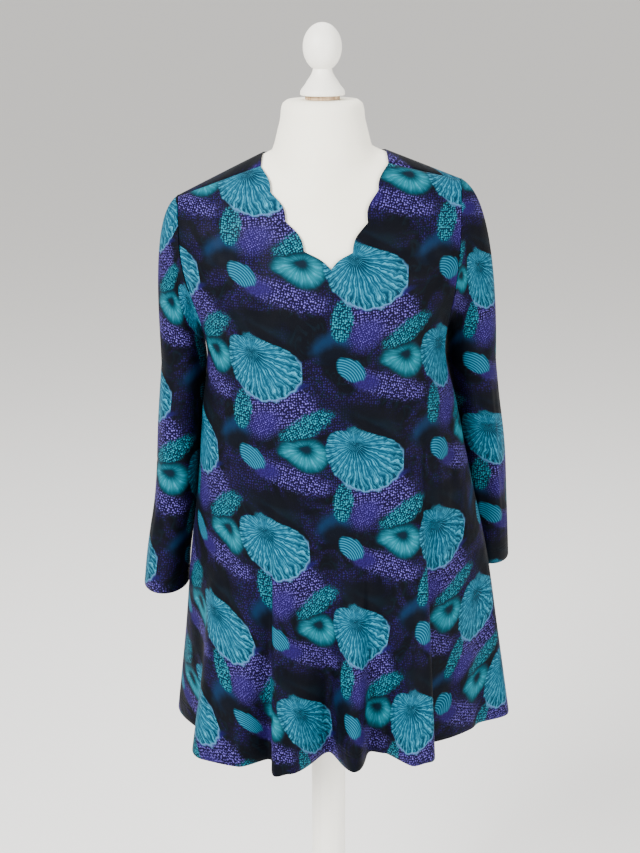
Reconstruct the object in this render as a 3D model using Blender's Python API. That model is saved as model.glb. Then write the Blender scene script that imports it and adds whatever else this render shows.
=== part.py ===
"""Tunic top on a limbless dress form: an A-line jersey tunic with a scalloped V neckline and set-in
sleeves, on a padded form with a turned finial, a wooden pole and a round base.

Metres, +Z up, the front faces -Y. The origin is the middle of the base's underside, on the pole's axis.
"Left" and "right" are those of a viewer in front: left is -X.
"""

import math

import bpy
import numpy as np

# Cloth
WALL = 0.0016
SEAM_GAP = 0.0004
HEAD_GAP = 0.0005
HEM_Z = 0.594
MID_Z = 1.10
UNDERARM_Z = 1.165
BUST_Z = 1.16
CLOTH_EASE = 0.0030
SIDE_POWER = 2.5

# Girth of the tunic's body: height, half width on each side, depth before and behind the centre line
BODY_LEVELS = (
    # z, left, right, front, back, centre_y
    (0.594, 0.226, 0.269, 0.152, 0.165, -0.020),
    (0.720, 0.210, 0.250, 0.150, 0.150, -0.014),
    (0.840, 0.198, 0.231, 0.146, 0.136, -0.008),
    (0.950, 0.184, 0.206, 0.142, 0.124, -0.004),
    (1.060, 0.175, 0.183, 0.141, 0.116, 0.000),
    (1.160, 0.168, 0.164, 0.139, 0.114, 0.000),
    (1.200, 0.181, 0.173, 0.139, 0.114, 0.000),
    (1.250, 0.205, 0.190, 0.139, 0.114, 0.000),
    (1.300, 0.225, 0.205, 0.138, 0.113, 0.000),
    (1.360, 0.236, 0.216, 0.137, 0.112, 0.000),
    (1.500, 0.240, 0.220, 0.136, 0.112, 0.000),
)

# Plan of the hem, round from the left side: each fold's crest or hollow, and the height where it dies out
HEM_FOLDS = (
    # fold, x, y, dies_out_z
    ("side_left", -0.2265, -0.030, 0.90),
    ("hollow_left", -0.1925, -0.098, 0.86),
    ("crest_a_edge", -0.1774, -0.188, 0.90),
    ("crest_a", -0.1268, -0.208, 0.96),
    ("hollow_ab", -0.0837, -0.188, 0.95),
    ("crest_b_edge", -0.0735, -0.2346, 0.96),
    ("crest_b", -0.0553, -0.228, 0.94),
    ("hollow_bc", 0.0000, -0.169, 0.92),
    ("crest_c", 0.0345, -0.224, 0.90),
    ("hollow_cd", 0.0600, -0.168, 0.92),
    ("hollow_cd_end", 0.0796, -0.173, 0.95),
    ("crest_d", 0.1180, -0.209, 1.02),
    ("crest_d_edge", 0.1400, -0.199, 1.05),
    ("hollow_right", 0.1495, -0.143, 1.05),
    ("panel_right", 0.2078, -0.106, 1.00),
    ("crease_right", 0.2190, -0.090, 0.95),
    ("side_crest_right", 0.2676, -0.060, 0.95),
    ("side_right", 0.2640, 0.000, 0.95),
    ("back_hollow_1", 0.2150, 0.074, 0.85),
    ("back_crest_1", 0.1750, 0.150, 0.78),
    ("back_hollow_2", 0.1050, 0.140, 0.90),
    ("back_crest_2", 0.0500, 0.200, 1.00),
    ("back_hollow_3", -0.0100, 0.148, 0.90),
    ("back_crest_3", -0.0700, 0.190, 0.97),
    ("back_hollow_4", -0.1150, 0.135, 0.90),
    ("back_crest_4", -0.1620, 0.138, 0.95),
    ("back_hollow_5", -0.1950, 0.068, 0.88),
)
FOLD_GROWTH = 1.25
PLUMB_POWER = 1.6

# Shoulder ridge: z = top - slope * (hypot(x, round) - round)
RIDGE_TOP_Z = 1.4454
RIDGE_LEFT = (0.505, 0.030)
RIDGE_RIGHT = (0.390, 0.010)
SHOULDER_POINT_LEFT = 0.2025
SHOULDER_POINT_RIGHT = 0.1835
NECK_POINT_LEFT = 0.0882
NECK_POINT_RIGHT = 0.0835
SEAM_DROP_NECK = 0.0125
SEAM_DROP_SHOULDER = 0.0004
FRONT_FALL = 1.5
BACK_FALL = 2.6

# Armhole, seen from the front: how far out the seam lies at each height
ARMHOLE_LEFT = ((1.165, 0.1683), (1.185, 0.1700), (1.224, 0.1816), (1.276, 0.1955), (1.324, 0.2003))
ARMHOLE_RIGHT = ((1.165, 0.1645), (1.185, 0.1650), (1.224, 0.1700), (1.276, 0.1765), (1.324, 0.1810))

# Scalloped neckline, from each neck point to the point of the V: notch x and z, and how far
# the scallop before it bulges into the opening
V_POINT = (0.0055, 1.279)
SCALLOPS_LEFT = (
    # notch_x, notch_z, bulge
    (-0.0745, 1.374, 0.0040),
    (-0.0545, 1.339, 0.0058),
    (-0.0300, 1.302, 0.0055),
    (V_POINT[0], V_POINT[1], 0.0030),
)
SCALLOPS_RIGHT = (
    (0.0690, 1.376, 0.0040),
    (0.0545, 1.337, 0.0058),
    (0.0340, 1.300, 0.0050),
    (V_POINT[0], V_POINT[1], 0.0030),
)
SCALLOP_STEPS = 3

# Back neckline, a plain curve
BACK_NECK_Z = 1.405
BACK_NECK_CURVE = 0.7
BACK_NECK_TIP = (
    # inward from the neck point, below the ridge in front
    (0.0000, SEAM_DROP_NECK),
    (0.0008, 0.0060),
    (0.0014, 0.0018),
    (0.0018, 0.0002),
)

# Sleeves: oval rings below the armhole, how far the cloth stands off the side below the arm, and how
# stiffly the head leaves the seam and arrives at the first ring (fixed part, part of the distance)
UNDERARM_FOLD = 0.03
HEAD_SETTING = (0.02, 0.50)
HEAD_HANG = (0.03, 0.60)
SLEEVE_LEFT = (
    # z, centre_x, centre_y, half_width, half_depth
    (1.120, -0.2045, 0.000, 0.0310, 0.052),
    (1.045, -0.2118, 0.000, 0.0300, 0.053),
    (0.920, -0.2225, -0.002, 0.0292, 0.054),
    (0.826, -0.2365, -0.004, 0.0310, 0.055),
    (0.785, -0.2405, -0.005, 0.0318, 0.056),
)
SLEEVE_RIGHT = (
    (1.120, 0.2078, 0.035, 0.0360, 0.052),
    (1.060, 0.2172, 0.050, 0.0355, 0.052),
    (0.980, 0.2290, 0.066, 0.0362, 0.052),
    (0.900, 0.2380, 0.080, 0.0340, 0.053),
    (0.795, 0.2475, 0.092, 0.0320, 0.055),
)
SLEEVE_HEAD_RINGS = (0.0, 0.03, 0.10, 0.22, 0.42, 0.68, 1.0)
SLEEVE_LOWER_RINGS = 7

# Columns and rows of the cloth panels
ARMHOLE_STATIONS = 11
SHOULDER_STATIONS = 5
FRONT_UPPER_ROWS = (0.0, 0.03, 0.10, 0.22, 0.40, 0.68, 1.0)
BACK_UPPER_ROWS = (0.006, 0.03, 0.09, 0.20, 0.38, 0.66, 1.0)
LOWER_ROWS = 9
BACK_NECK_STATIONS = 8
SHOULDER_HEM_SHARE = 0.66
RIDGE_STEP = 0.27

# Dress form
FORM_LEVELS = (
    # z, half width, front, back, centre_y
    (0.700, 0.128, 0.096, 0.096, 0.004),
    (0.740, 0.140, 0.104, 0.106, 0.004),
    (0.830, 0.151, 0.110, 0.116, 0.002),
    (0.920, 0.141, 0.104, 0.106, 0.000),
    (1.000, 0.126, 0.098, 0.092, 0.000),
    (1.080, 0.140, 0.116, 0.098, 0.000),
    (1.160, 0.157, 0.136, 0.112, 0.000),
    (1.240, 0.163, 0.136, 0.112, 0.000),
    (1.360, 0.166, 0.136, 0.112, 0.000),
    (1.500, 0.166, 0.136, 0.112, 0.000),
)
FORM_RINGS = (
    (0.700, 0.706, 0.735, 0.790, 0.850, 0.910, 0.960, 1.010, 1.060, 1.110, 1.160, 1.210, 1.260, 1.300)
    + (1.330, 1.352, 1.368, 1.381, 1.393, 1.404, 1.413, 1.421, 1.430, 1.444, 1.462, 1.476, 1.483, 1.487)
)
FORM_EDGE = 0.96
FORM_SIDES = 40
FORM_TOP_Z = 1.487
NECK_X = -0.0045
NECK_LEVELS = (
    # z, radius
    (1.330, 0.0600),
    (1.400, 0.0690),
    (1.415, 0.0705),
    (1.430, 0.0655),
    (1.444, 0.0620),
    (1.462, 0.0575),
    (1.476, 0.0558),
    (1.483, 0.0535),
    (1.487, 0.0480),
)
NECK_BLEND = 0.02

# Finial, disc, pole and base
DISC_RADIUS = 0.0235
DISC_HEIGHT = 0.0055
FINIAL_PROFILE = (
    # radius, height above the disc
    (0.0300, 0.0000),
    (0.0302, 0.0035),
    (0.0280, 0.0085),
    (0.0205, 0.0190),
    (0.0145, 0.0285),
    (0.0128, 0.0345),
)
BALL_RADIUS = 0.0262
BALL_HALF_HEIGHT = 0.0320
POLE_RADIUS = 0.026
BASE_RADIUS = 0.175
BASE_THICKNESS = 0.014
BASE_EDGE = 0.004
FACE_GAP = 0.0003

COLOURS = {
    "jersey_print": ((0.03, 0.10, 0.14, 1.0), 0.75),
    "form_jersey": ((0.90, 0.89, 0.83, 1.0), 0.85),
    "bare_wood": ((0.55, 0.43, 0.30, 1.0), 0.6),
    "painted_wood": ((0.88, 0.87, 0.82, 1.0), 0.45),
}


def clear_scene():
    for obj in list(bpy.data.objects):
        bpy.data.objects.remove(obj, do_unlink=True)


def material(name):
    colour, roughness = COLOURS[name]
    found = bpy.data.materials.new(name)
    found.use_nodes = True
    shader = found.node_tree.nodes["Principled BSDF"]
    shader.inputs["Base Color"].default_value = colour
    shader.inputs["Roughness"].default_value = roughness
    shader.inputs["Metallic"].default_value = 0.0
    return found


def add_object(name, points, faces, finish, smooth_angle=40):
    mesh = bpy.data.meshes.new(name)
    mesh.from_pydata([tuple(p) for p in points], [], faces)
    mesh.validate()
    mesh.shade_smooth()
    mesh.set_sharp_from_angle(angle=math.radians(smooth_angle))
    mesh.materials.append(material(finish))
    obj = bpy.data.objects.new(name, mesh)
    bpy.context.scene.collection.objects.link(obj)
    return obj


def column(table, index):
    return np.array([row[index] for row in table], float)


def smooth_curve(x, xs, ys):
    """Cubic curve through a table's rows, level beyond its ends."""
    x = np.clip(x, xs[0], xs[-1])
    slopes = np.gradient(ys, xs)
    i = np.clip(np.searchsorted(xs, x, side="right") - 1, 0, len(xs) - 2)
    width = xs[i + 1] - xs[i]
    t = (x - xs[i]) / width
    start = (1 + 2 * t) * (1 - t) ** 2 * ys[i] + t * (1 - t) ** 2 * width * slopes[i]
    end = t * t * (3 - 2 * t) * ys[i + 1] + t * t * (t - 1) * width * slopes[i + 1]
    return start + end


def level_value(z, table, index):
    return smooth_curve(z, column(table, 0), column(table, index))


def ridge_z(x):
    """Height of the shoulder ridge at x."""
    slope, soft = (np.where(x < 0, a, b) for a, b in zip(RIDGE_LEFT, RIDGE_RIGHT))
    return RIDGE_TOP_Z - slope * (np.hypot(x, soft) - soft)


def ridge_fall(x, z, power, grow):
    """1 at the bust, falling to 0 at the shoulder ridge."""
    t = np.clip((z - BUST_Z) / (ridge_z(x) + grow - BUST_Z), 0, 1)
    return np.sqrt(1 - t**power)


def neck_depth(x, z, grow):
    radius = level_value(z, NECK_LEVELS, 1) + grow
    inside = np.clip(radius**2 - (x - NECK_X) ** 2, 0, None)
    return np.where(z > NECK_LEVELS[0][0], np.sqrt(inside), 0)


def soft_max(a, b, blend):
    mix = np.clip(1 - np.abs(a - b) / blend, 0, 1) * np.clip(np.minimum(a, b) / blend, 0, 1)
    return np.maximum(a, b) + mix * mix * blend / 4


def with_neck(depth, x, z, grow):
    """Depth of the torso at x, run softly into the neck above the chest."""
    neck = neck_depth(x, z, grow)
    share = np.clip((z - NECK_LEVELS[0][0]) / (NECK_LEVELS[1][0] - NECK_LEVELS[0][0]), 0, 1)
    return np.where(share > 0, soft_max(depth, neck, 0.001 + NECK_BLEND * share), depth)


# ---- the tunic's body: phi runs round from the left side seam (0) over the front (90 degrees)


def body_point(phi, z, swell=1.0, grow=CLOTH_EASE):
    """Point of the body at the angle phi of its girth and the height z, swollen by the folds."""
    c = np.cos(phi)
    front = np.sin(phi) >= 0
    width = np.where(c > 0, level_value(z, BODY_LEVELS, 1), level_value(z, BODY_LEVELS, 2)) + grow
    depth = np.where(front, level_value(z, BODY_LEVELS, 3), level_value(z, BODY_LEVELS, 4)) + grow
    x = -width * c * swell
    fall = ridge_fall(x, z, np.where(front, FRONT_FALL, BACK_FALL), grow)
    y = depth * np.sqrt(1 - np.clip(np.abs(c), 0, 1) ** SIDE_POWER) * fall
    y = with_neck(y, x, z, grow) * swell
    centre = level_value(z, BODY_LEVELS, 5)
    return np.stack([x, centre + np.where(front, -y, y), z], axis=-1)


def hem_girth(index):
    return BODY_LEVELS[0][index] + CLOTH_EASE


def fold_angle(x, y):
    """Angle and swell of a point of the hem, against the plain girth there."""
    centre = BODY_LEVELS[0][5]
    across = -x / np.where(x < 0, hem_girth(1), hem_girth(2))
    along = (centre - y) / np.where(y < centre, hem_girth(3), hem_girth(4))
    radius = (np.abs(across) ** SIDE_POWER + np.abs(along) ** 2) ** 0.5
    for _ in range(8):
        shape = np.abs(across / radius) ** SIDE_POWER + (along / radius) ** 2
        radius = radius * shape**0.45
    c = np.clip(across / radius, -1, 1)
    angle = np.arccos(c)
    return np.where(along >= 0, angle, 2 * np.pi - angle), radius


def fold_table():
    angles, swells = fold_angle(column(HEM_FOLDS, 1), column(HEM_FOLDS, 2))
    starts = column(HEM_FOLDS, 3)
    order = np.argsort(angles)
    angles, swells, starts = angles[order], swells[order], starts[order]
    turn = 2 * np.pi
    return (
        np.concatenate([[angles[-1] - turn], angles, [angles[0] + turn]]),
        np.concatenate([[swells[-1]], swells, [swells[0]]]),
        np.concatenate([[starts[-1]], starts, [starts[0]]]),
    )


FOLD_ANGLES, FOLD_SWELLS, FOLD_STARTS = fold_table()


def fold_swell(angle, z):
    """Swell of the hem's folds at its angle, and their share of it at the height z."""
    i = np.clip(np.searchsorted(FOLD_ANGLES, angle, side="right") - 1, 0, len(FOLD_ANGLES) - 2)
    t = (angle - FOLD_ANGLES[i]) / (FOLD_ANGLES[i + 1] - FOLD_ANGLES[i])
    t = t * t * (3 - 2 * t)
    hem = FOLD_SWELLS[i] * (1 - t) + FOLD_SWELLS[i + 1] * t
    start = FOLD_STARTS[i] * (1 - t) + FOLD_STARTS[i + 1] * t
    share = np.clip((start - z) / (start - HEM_Z), 0, 1) ** FOLD_GROWTH
    return hem, 1 + share * (hem - 1)


def skirt_angle(angle, z, hem, swell):
    """Angle at height z of the column that meets the hem at angle: folds in front hang plumb."""
    c = np.cos(angle)
    hem_width = np.where(c > 0, hem_girth(1), hem_girth(2))
    width = np.where(c > 0, level_value(z, BODY_LEVELS, 1), level_value(z, BODY_LEVELS, 2))
    plumb = hem_width * hem / ((width + CLOTH_EASE) * swell)
    c = c * plumb / (1 + (plumb - 1) * np.abs(c) ** PLUMB_POWER)
    phi = np.arccos(np.clip(c, -1, 1))
    return np.where(np.sin(angle) >= 0, phi, 2 * np.pi - phi)


def skirt_point(angle, z):
    hem, swell = fold_swell(angle, z)
    return body_point(skirt_angle(angle, z, hem, swell), z, swell)


def normals(points_at, u, z):
    """Outward unit normals of a surface given as points_at(u, z), u running from left to right in front."""
    step_u = 2e-4
    step_z = 2e-5
    across = points_at(u + step_u, z) - points_at(u - step_u, z)
    down = points_at(u, z - step_z) - points_at(u, z)
    n = np.cross(down, across)
    return n / np.linalg.norm(n, axis=-1, keepdims=True)


# ---- stations along the panels' top edges: x and z seen from the front


def armhole_stations(side):
    """From the underarm up to the shoulder point."""
    table = ARMHOLE_LEFT if side < 0 else ARMHOLE_RIGHT
    tip_x = SHOULDER_POINT_LEFT if side < 0 else SHOULDER_POINT_RIGHT
    tip_z = float(ridge_z(np.array(side * tip_x))) + CLOTH_EASE - SEAM_DROP_SHOULDER
    levels = np.append(column(table, 0), tip_z)
    reach = np.append(column(table, 1), tip_x)
    share = np.linspace(0, 1, ARMHOLE_STATIONS)
    z = UNDERARM_Z + (tip_z - UNDERARM_Z) * share**2 * (3 - 2 * share)
    angle = top_angle(side * smooth_curve(z, levels, reach), z)
    from_side = angle if side < 0 else np.pi - angle
    from_side = from_side * (1 - (1 - share) ** 4)
    width = level_value(z, BODY_LEVELS, 1 if side < 0 else 2) + CLOTH_EASE
    return side * width * np.cos(from_side), z


def shoulder_stations(side):
    """From the shoulder point along the seam to the neck point, both ends left out."""
    outer = SHOULDER_POINT_LEFT if side < 0 else SHOULDER_POINT_RIGHT
    inner = NECK_POINT_LEFT if side < 0 else NECK_POINT_RIGHT
    share = np.linspace(0, 1, SHOULDER_STATIONS + 1)[1:-1]
    x = side * (outer + (inner - outer) * share)
    drop = SEAM_DROP_SHOULDER + (SEAM_DROP_NECK - SEAM_DROP_SHOULDER) * share
    return x, ridge_z(x) + CLOTH_EASE - drop


def neckline(side):
    """Scalloped edge from the neck point to the V, as x and z."""
    neck_x = side * (NECK_POINT_LEFT if side < 0 else NECK_POINT_RIGHT)
    start = np.array([neck_x, float(ridge_z(np.array(neck_x))) + CLOTH_EASE - SEAM_DROP_NECK])
    points = [start]
    for notch_x, notch_z, bulge in SCALLOPS_LEFT if side < 0 else SCALLOPS_RIGHT:
        end = np.array([notch_x, notch_z])
        chord = end - start
        out = np.array([-side * abs(chord[1]), abs(chord[0])]) / np.linalg.norm(chord)
        for step in range(1, SCALLOP_STEPS + 1):
            t = step / SCALLOP_STEPS
            points.append(start + chord * t + out * bulge * math.sin(math.pi * t**1.25))
        start = end
    points = np.array(points)
    return points[:, 0], points[:, 1]


def top_angle(x, z, back=False):
    """Girth angle of the point of the body at x and z."""
    width = np.where(x < 0, level_value(z, BODY_LEVELS, 1), level_value(z, BODY_LEVELS, 2)) + CLOTH_EASE
    phi = np.arccos(np.clip(-x / width, -1, 1))
    return 2 * np.pi - phi if back else phi


def hem_angles(top_x, kind, side, count):
    """Hem angle of each column of one kind."""
    inner = (NECK_POINT_LEFT if side < 0 else NECK_POINT_RIGHT) / hem_girth(1 if side < 0 else 2)
    if kind == "armhole":
        c = np.cos(np.linspace(0, math.acos(SHOULDER_HEM_SHARE), count))
    elif kind == "shoulder":
        c = SHOULDER_HEM_SHARE + (inner - SHOULDER_HEM_SHARE) * np.linspace(0, 1, count + 2)[1:-1]
    else:
        c = np.abs(top_x) / hem_girth(1 if side < 0 else 2)
    return np.arccos(c)


def front_stations():
    """Columns of the front panel from the left side seam to the right one: x, z, hem angle, sewn."""
    rows = []
    for side in (-1, 1):
        arm_x, arm_z = armhole_stations(side)
        top_x, top_z = shoulder_stations(side)
        neck_x, neck_z = neckline(side)
        x = np.concatenate([arm_x, top_x, neck_x])
        z = np.concatenate([arm_z, top_z, neck_z])
        hem = np.concatenate([
            hem_angles(arm_x, "armhole", side, len(arm_x)),
            hem_angles(top_x, "shoulder", side, len(top_x)),
            hem_angles(neck_x, "neck", side, len(neck_x)),
        ])
        hem = np.where(x > 0, np.pi - hem, hem)
        sewn = np.arange(len(x)) <= len(arm_x) + len(top_x)
        half = np.stack([x, z, hem, sewn], axis=1)
        rows.append(half if side < 0 else half[::-1][1:])
    return np.concatenate(rows)


def grid_faces(rows, columns, offset, flip):
    faces = []
    for j in range(rows - 1):
        for i in range(columns - 1):
            a = offset + j * columns + i
            quad = (a, a + columns, a + columns + 1, a + 1)
            faces.append(quad[::-1] if flip else quad)
    return faces


def rim_faces(loop, offset):
    """Faces that close a wall round the loop of its edge points."""
    faces = []
    for a, b in zip(loop, np.roll(loop, -1)):
        faces.append((a, b, b + offset, a + offset))
    return faces


def panel_wall(outer, out_normals):
    """Closed wall from a grid of outer points (rows from the top, columns from left to right)."""
    rows, columns = outer.shape[:2]
    count = rows * columns
    points = np.concatenate([outer.reshape(-1, 3), (outer - out_normals * WALL).reshape(-1, 3)])
    index = np.arange(count).reshape(rows, columns)
    loop = np.concatenate([index[0], index[1:, -1], index[-1, -2::-1], index[-2:0:-1, 0]])
    faces = grid_faces(rows, columns, 0, False) + grid_faces(rows, columns, count, True)
    return points, faces + rim_faces(loop, count)


def edge_inset(edge, inner, out):
    """Direction across an edge towards the panel's inside, in the cloth's surface."""
    across = np.cross(np.gradient(edge, axis=0), out)
    across /= np.linalg.norm(across, axis=1, keepdims=True)
    towards = np.sum(across * (inner - edge), axis=1, keepdims=True)
    return across * np.sign(towards)


def open_seams(points, out, sewn):
    """Draws the sewn edges of a panel back by half of the seam's gap."""
    inset = edge_inset(points[0], points[1], out[0]) * (SEAM_GAP / 2)
    points[0] += np.where(sewn[:, None] > 0, inset, 0)
    for side, inner in ((0, 1), (-1, -2)):
        points[:, side] += edge_inset(points[:, side], points[:, inner], out[:, side]) * (SEAM_GAP / 2)


def skirt_rows():
    """Heights of the rows below the bust, closer together near the hem's folds."""
    return MID_Z + (HEM_Z - MID_Z) * np.linspace(0, 1, LOWER_ROWS + 1)[1:]


def lower_grid(hem):
    z = skirt_rows()[:, None] + 0 * hem[None, :]
    angle = hem[None, :] + 0 * z
    return skirt_point(angle, z), normals(skirt_point, angle, z)


def mid_angles(hem):
    mid = np.full_like(hem, MID_Z)
    swell_hem, swell = fold_swell(hem, mid)
    return skirt_angle(hem, mid, swell_hem, swell)


def make_front():
    stations = front_stations()
    x, z, hem, sewn = stations.T
    share = np.array(FRONT_UPPER_ROWS)[:, None]
    phi = top_angle(x, z) * (1 - share) + mid_angles(hem) * share
    level = z * (1 - share) + MID_Z * share
    upper = body_point(phi, level)
    upper_out = normals(body_point, phi, level)
    lower, lower_out = lower_grid(hem)
    points = np.concatenate([upper, lower])
    out = np.concatenate([upper_out, lower_out])
    open_seams(points, out, sewn)
    return add_object("tunic_front", *panel_wall(points, out), "jersey_print")


def back_half(side):
    """Back columns from one side seam to the centre: x, top z, hem angle, drop in front of the ridge."""
    arm_x, arm_z = armhole_stations(side)
    top_x, top_z = shoulder_stations(side)
    neck_point = side * (NECK_POINT_LEFT if side < 0 else NECK_POINT_RIGHT)
    tip_x = neck_point - side * column(BACK_NECK_TIP, 0)
    tip_drop = column(BACK_NECK_TIP, 1)
    neck_share = np.linspace(0, 1, BACK_NECK_STATIONS + 1)[1:] ** 1.7
    neck_x = tip_x[-1] * (1 - neck_share)
    tip_top = float(ridge_z(tip_x[-1:])[0]) + CLOTH_EASE
    neck_z = tip_top + (BACK_NECK_Z - tip_top) * np.sin(neck_share * np.pi / 2) ** BACK_NECK_CURVE
    drop_arm = np.append(np.zeros(len(arm_x) - 1), SEAM_DROP_SHOULDER)
    drop_top = ridge_z(top_x) + CLOTH_EASE - top_z
    x = np.concatenate([arm_x, top_x, tip_x, neck_x])
    drop = np.concatenate([drop_arm, drop_top, tip_drop, np.zeros(len(neck_x))])
    z = np.concatenate([arm_z, top_z, ridge_z(tip_x) + CLOTH_EASE - tip_drop, neck_z])
    hem = np.concatenate([
        hem_angles(arm_x, "armhole", side, len(arm_x)),
        hem_angles(top_x, "shoulder", side, len(top_x)),
        hem_angles(tip_x, "neck", side, len(tip_x)),
        hem_angles(neck_x, "neck", side, len(neck_x)),
    ])
    sewn = np.arange(len(x)) <= len(arm_x) + len(top_x)
    return np.stack([x, z, hem, drop, sewn], axis=1)


def back_stations():
    left = back_half(-1)
    right = back_half(1)
    rows = np.concatenate([left, right[::-1][1:]])
    rows[:, 2] = np.where(rows[:, 0] > 0, np.pi - rows[:, 2], rows[:, 2])
    rows[:, 2] = 2 * np.pi - rows[:, 2]
    return rows


def make_back():
    x, z, hem, drop, sewn = back_stations().T
    over = drop > 0
    ridge = ridge_z(x) + CLOTH_EASE
    top_phi = np.where(over, top_angle(x, z), top_angle(x, z, back=True))
    start_z = np.where(over, ridge - 2e-5, z)
    start_phi = top_angle(x, start_z, back=True)
    share = np.array((0.0,) + BACK_UPPER_ROWS)[:, None]
    phi = start_phi * (1 - share) + mid_angles(hem) * share
    level = start_z * (1 - share) + MID_Z * share
    near_z = np.where(over, ridge - drop * RIDGE_STEP, z * 0.5 + level[1] * 0.5)
    near_phi = np.where(over, top_angle(x, near_z), start_phi * 0.5 + phi[1] * 0.5)
    phi = np.concatenate([[top_phi, near_phi], phi])
    level = np.concatenate([[z, near_z], level])
    phi[2] = np.where(over, phi[2], near_phi * 0.5 + phi[3] * 0.5)
    level[2] = np.where(over, level[2], near_z * 0.5 + level[3] * 0.5)
    upper = body_point(phi, level)
    upper_out = normals(body_point, phi, level)
    lower, lower_out = lower_grid(hem)
    points = np.concatenate([upper, lower])[:, ::-1]
    out = np.concatenate([upper_out, lower_out])[:, ::-1]
    open_seams(points, out, sewn[::-1])
    return add_object("tunic_back", *panel_wall(points, out), "jersey_print")


# ---- sleeves


def armhole_loop(side):
    """Points, normals and outward directions round the armhole, from the underarm up the front."""
    x, z = armhole_stations(side)
    front = top_angle(x, z)
    back = top_angle(x[::-1], z[::-1], back=True)
    angle = np.concatenate([front, back[1:-1]])
    level = np.concatenate([z, z[::-1][1:-1]])
    points = body_point(angle, level)
    out = normals(body_point, angle, level)
    along = np.roll(points, -1, axis=0) - np.roll(points, 1, axis=0)
    away = np.cross(along, out)
    away /= np.linalg.norm(away, axis=1, keepdims=True)
    return points, out, away if side > 0 else -away


def oval_ring(row, count, side):
    """Oval ring of a sleeve from the side next to the body, round the front."""
    z, centre_x, centre_y, half_width, half_depth = row
    turn = np.linspace(0, 2 * np.pi, count, endpoint=False)
    x = centre_x - side * half_width * np.cos(turn)
    y = centre_y - half_depth * np.sin(turn)
    return np.stack([x, y, np.full(count, z)], axis=1)


def sleeve_rows(table):
    """Ring sizes at even steps down the sleeve."""
    levels = column(table, 0)[::-1]
    z = np.linspace(table[0][0], table[-1][0], SLEEVE_LOWER_RINGS + 1)
    columns = [smooth_curve(z, levels, column(table, i)[::-1]) for i in range(1, 5)]
    return np.stack([z, *columns], axis=1)


def make_sleeve(name, side, table):
    points, out, away = armhole_loop(side)
    count = len(points)
    start = points + away * HEAD_GAP
    end = oval_ring(table[0], count, side)
    reach = np.linalg.norm(end - start, axis=1, keepdims=True)
    under = np.clip(1 - (points[:, 2:] - UNDERARM_Z) / UNDERARM_FOLD, 0, 1)
    leave = away * (HEAD_SETTING[0] + HEAD_SETTING[1] * reach)
    leave = leave + under * np.array([side * UNDERARM_FOLD, 0, 0])
    arrive = np.array([0, 0, -1.0]) * (HEAD_HANG[0] + HEAD_HANG[1] * reach)
    rings = []
    for t in SLEEVE_HEAD_RINGS:
        from_start = (1 + 2 * t) * (1 - t) ** 2 * start + t * (1 - t) ** 2 * leave
        from_end = t * t * (3 - 2 * t) * end + t * t * (t - 1) * arrive
        rings.append(from_start + from_end)
    rings += [oval_ring(row, count, side) for row in sleeve_rows(table)[1:]]
    rings = np.array(rings)
    around = np.roll(rings, -1, axis=1) - np.roll(rings, 1, axis=1)
    down = np.gradient(rings, axis=0)
    n = np.cross(down, around) * (-side)
    n /= np.linalg.norm(n, axis=2, keepdims=True)
    n[:2] = out
    n[2] = n[2] * 0.5 + out * 0.5
    n /= np.linalg.norm(n, axis=2, keepdims=True)
    return add_tube(name, rings, rings - n * WALL, "jersey_print", side < 0)


def add_tube(name, outer, inner, finish, flip):
    """Closed wall of a tube from its outer and inner rings."""
    rows, count = outer.shape[:2]
    total = rows * count
    faces = []
    for j in range(rows - 1):
        for i in range(count):
            a = j * count + i
            b = j * count + (i + 1) % count
            faces.append((a, b, b + count, a + count))
            faces.append((a + total, a + count + total, b + count + total, b + total))
    for j in (0, rows - 1):
        for i in range(count):
            a = j * count + i
            b = j * count + (i + 1) % count
            quad = (a, a + total, b + total, b)
            faces.append(quad if j == 0 else quad[::-1])
    if flip:
        faces = [face[::-1] for face in faces]
    points = np.concatenate([outer.reshape(-1, 3), inner.reshape(-1, 3)])
    return add_object(name, points, faces, finish)


# ---- dress form and stand


def form_depth(x, z, front):
    """Half depth of the form at x and z."""
    index = 2 if front else 3
    width = level_value(z, FORM_LEVELS, 1)
    depth = level_value(z, FORM_LEVELS, index)
    c = np.clip(np.abs(x) / width, 0, 1)
    fall = ridge_fall(x, z, FRONT_FALL if front else BACK_FALL, 0.0)
    return with_neck(depth * np.sqrt(1 - c**SIDE_POWER) * fall, x, z, 0.0)


def form_ring(z):
    """Ring of the form at one height, found outward from the axis."""
    turn = np.linspace(0, 2 * np.pi, FORM_SIDES, endpoint=False)
    direction = np.stack([np.cos(turn), np.sin(turn)])
    low, high = np.zeros(FORM_SIDES), np.full(FORM_SIDES, 0.3)
    level = np.full(FORM_SIDES, z)
    for _ in range(40):
        middle = (low + high) / 2
        x, y = direction * middle
        depth = np.where(y < 0, form_depth(x, level, True), form_depth(x, level, False))
        inside = np.abs(y) < depth
        low = np.where(inside, middle, low)
        high = np.where(inside, high, middle)
    centre = float(level_value(np.array(z), FORM_LEVELS, 4))
    return np.stack([direction[0] * low, centre + direction[1] * low, level], axis=1)


def stack_rings(name, rings, finish):
    """Solid from rings stacked upward, closed flat at both ends."""
    count = len(rings[0])
    faces = [tuple(range(count))[::-1]]
    for j in range(len(rings) - 1):
        for i in range(count):
            a = j * count + i
            b = j * count + (i + 1) % count
            faces.append((a, b, b + count, a + count))
    last = (len(rings) - 1) * count
    faces.append(tuple(range(last, last + count)))
    return add_object(name, np.concatenate(rings), faces, finish, 50)


def circle(radius, z, centre_x=0.0, sides=32):
    turn = np.linspace(0, 2 * np.pi, sides, endpoint=False)
    return np.stack([centre_x + radius * np.cos(turn), radius * np.sin(turn), np.full(sides, z)], axis=1)


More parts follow.
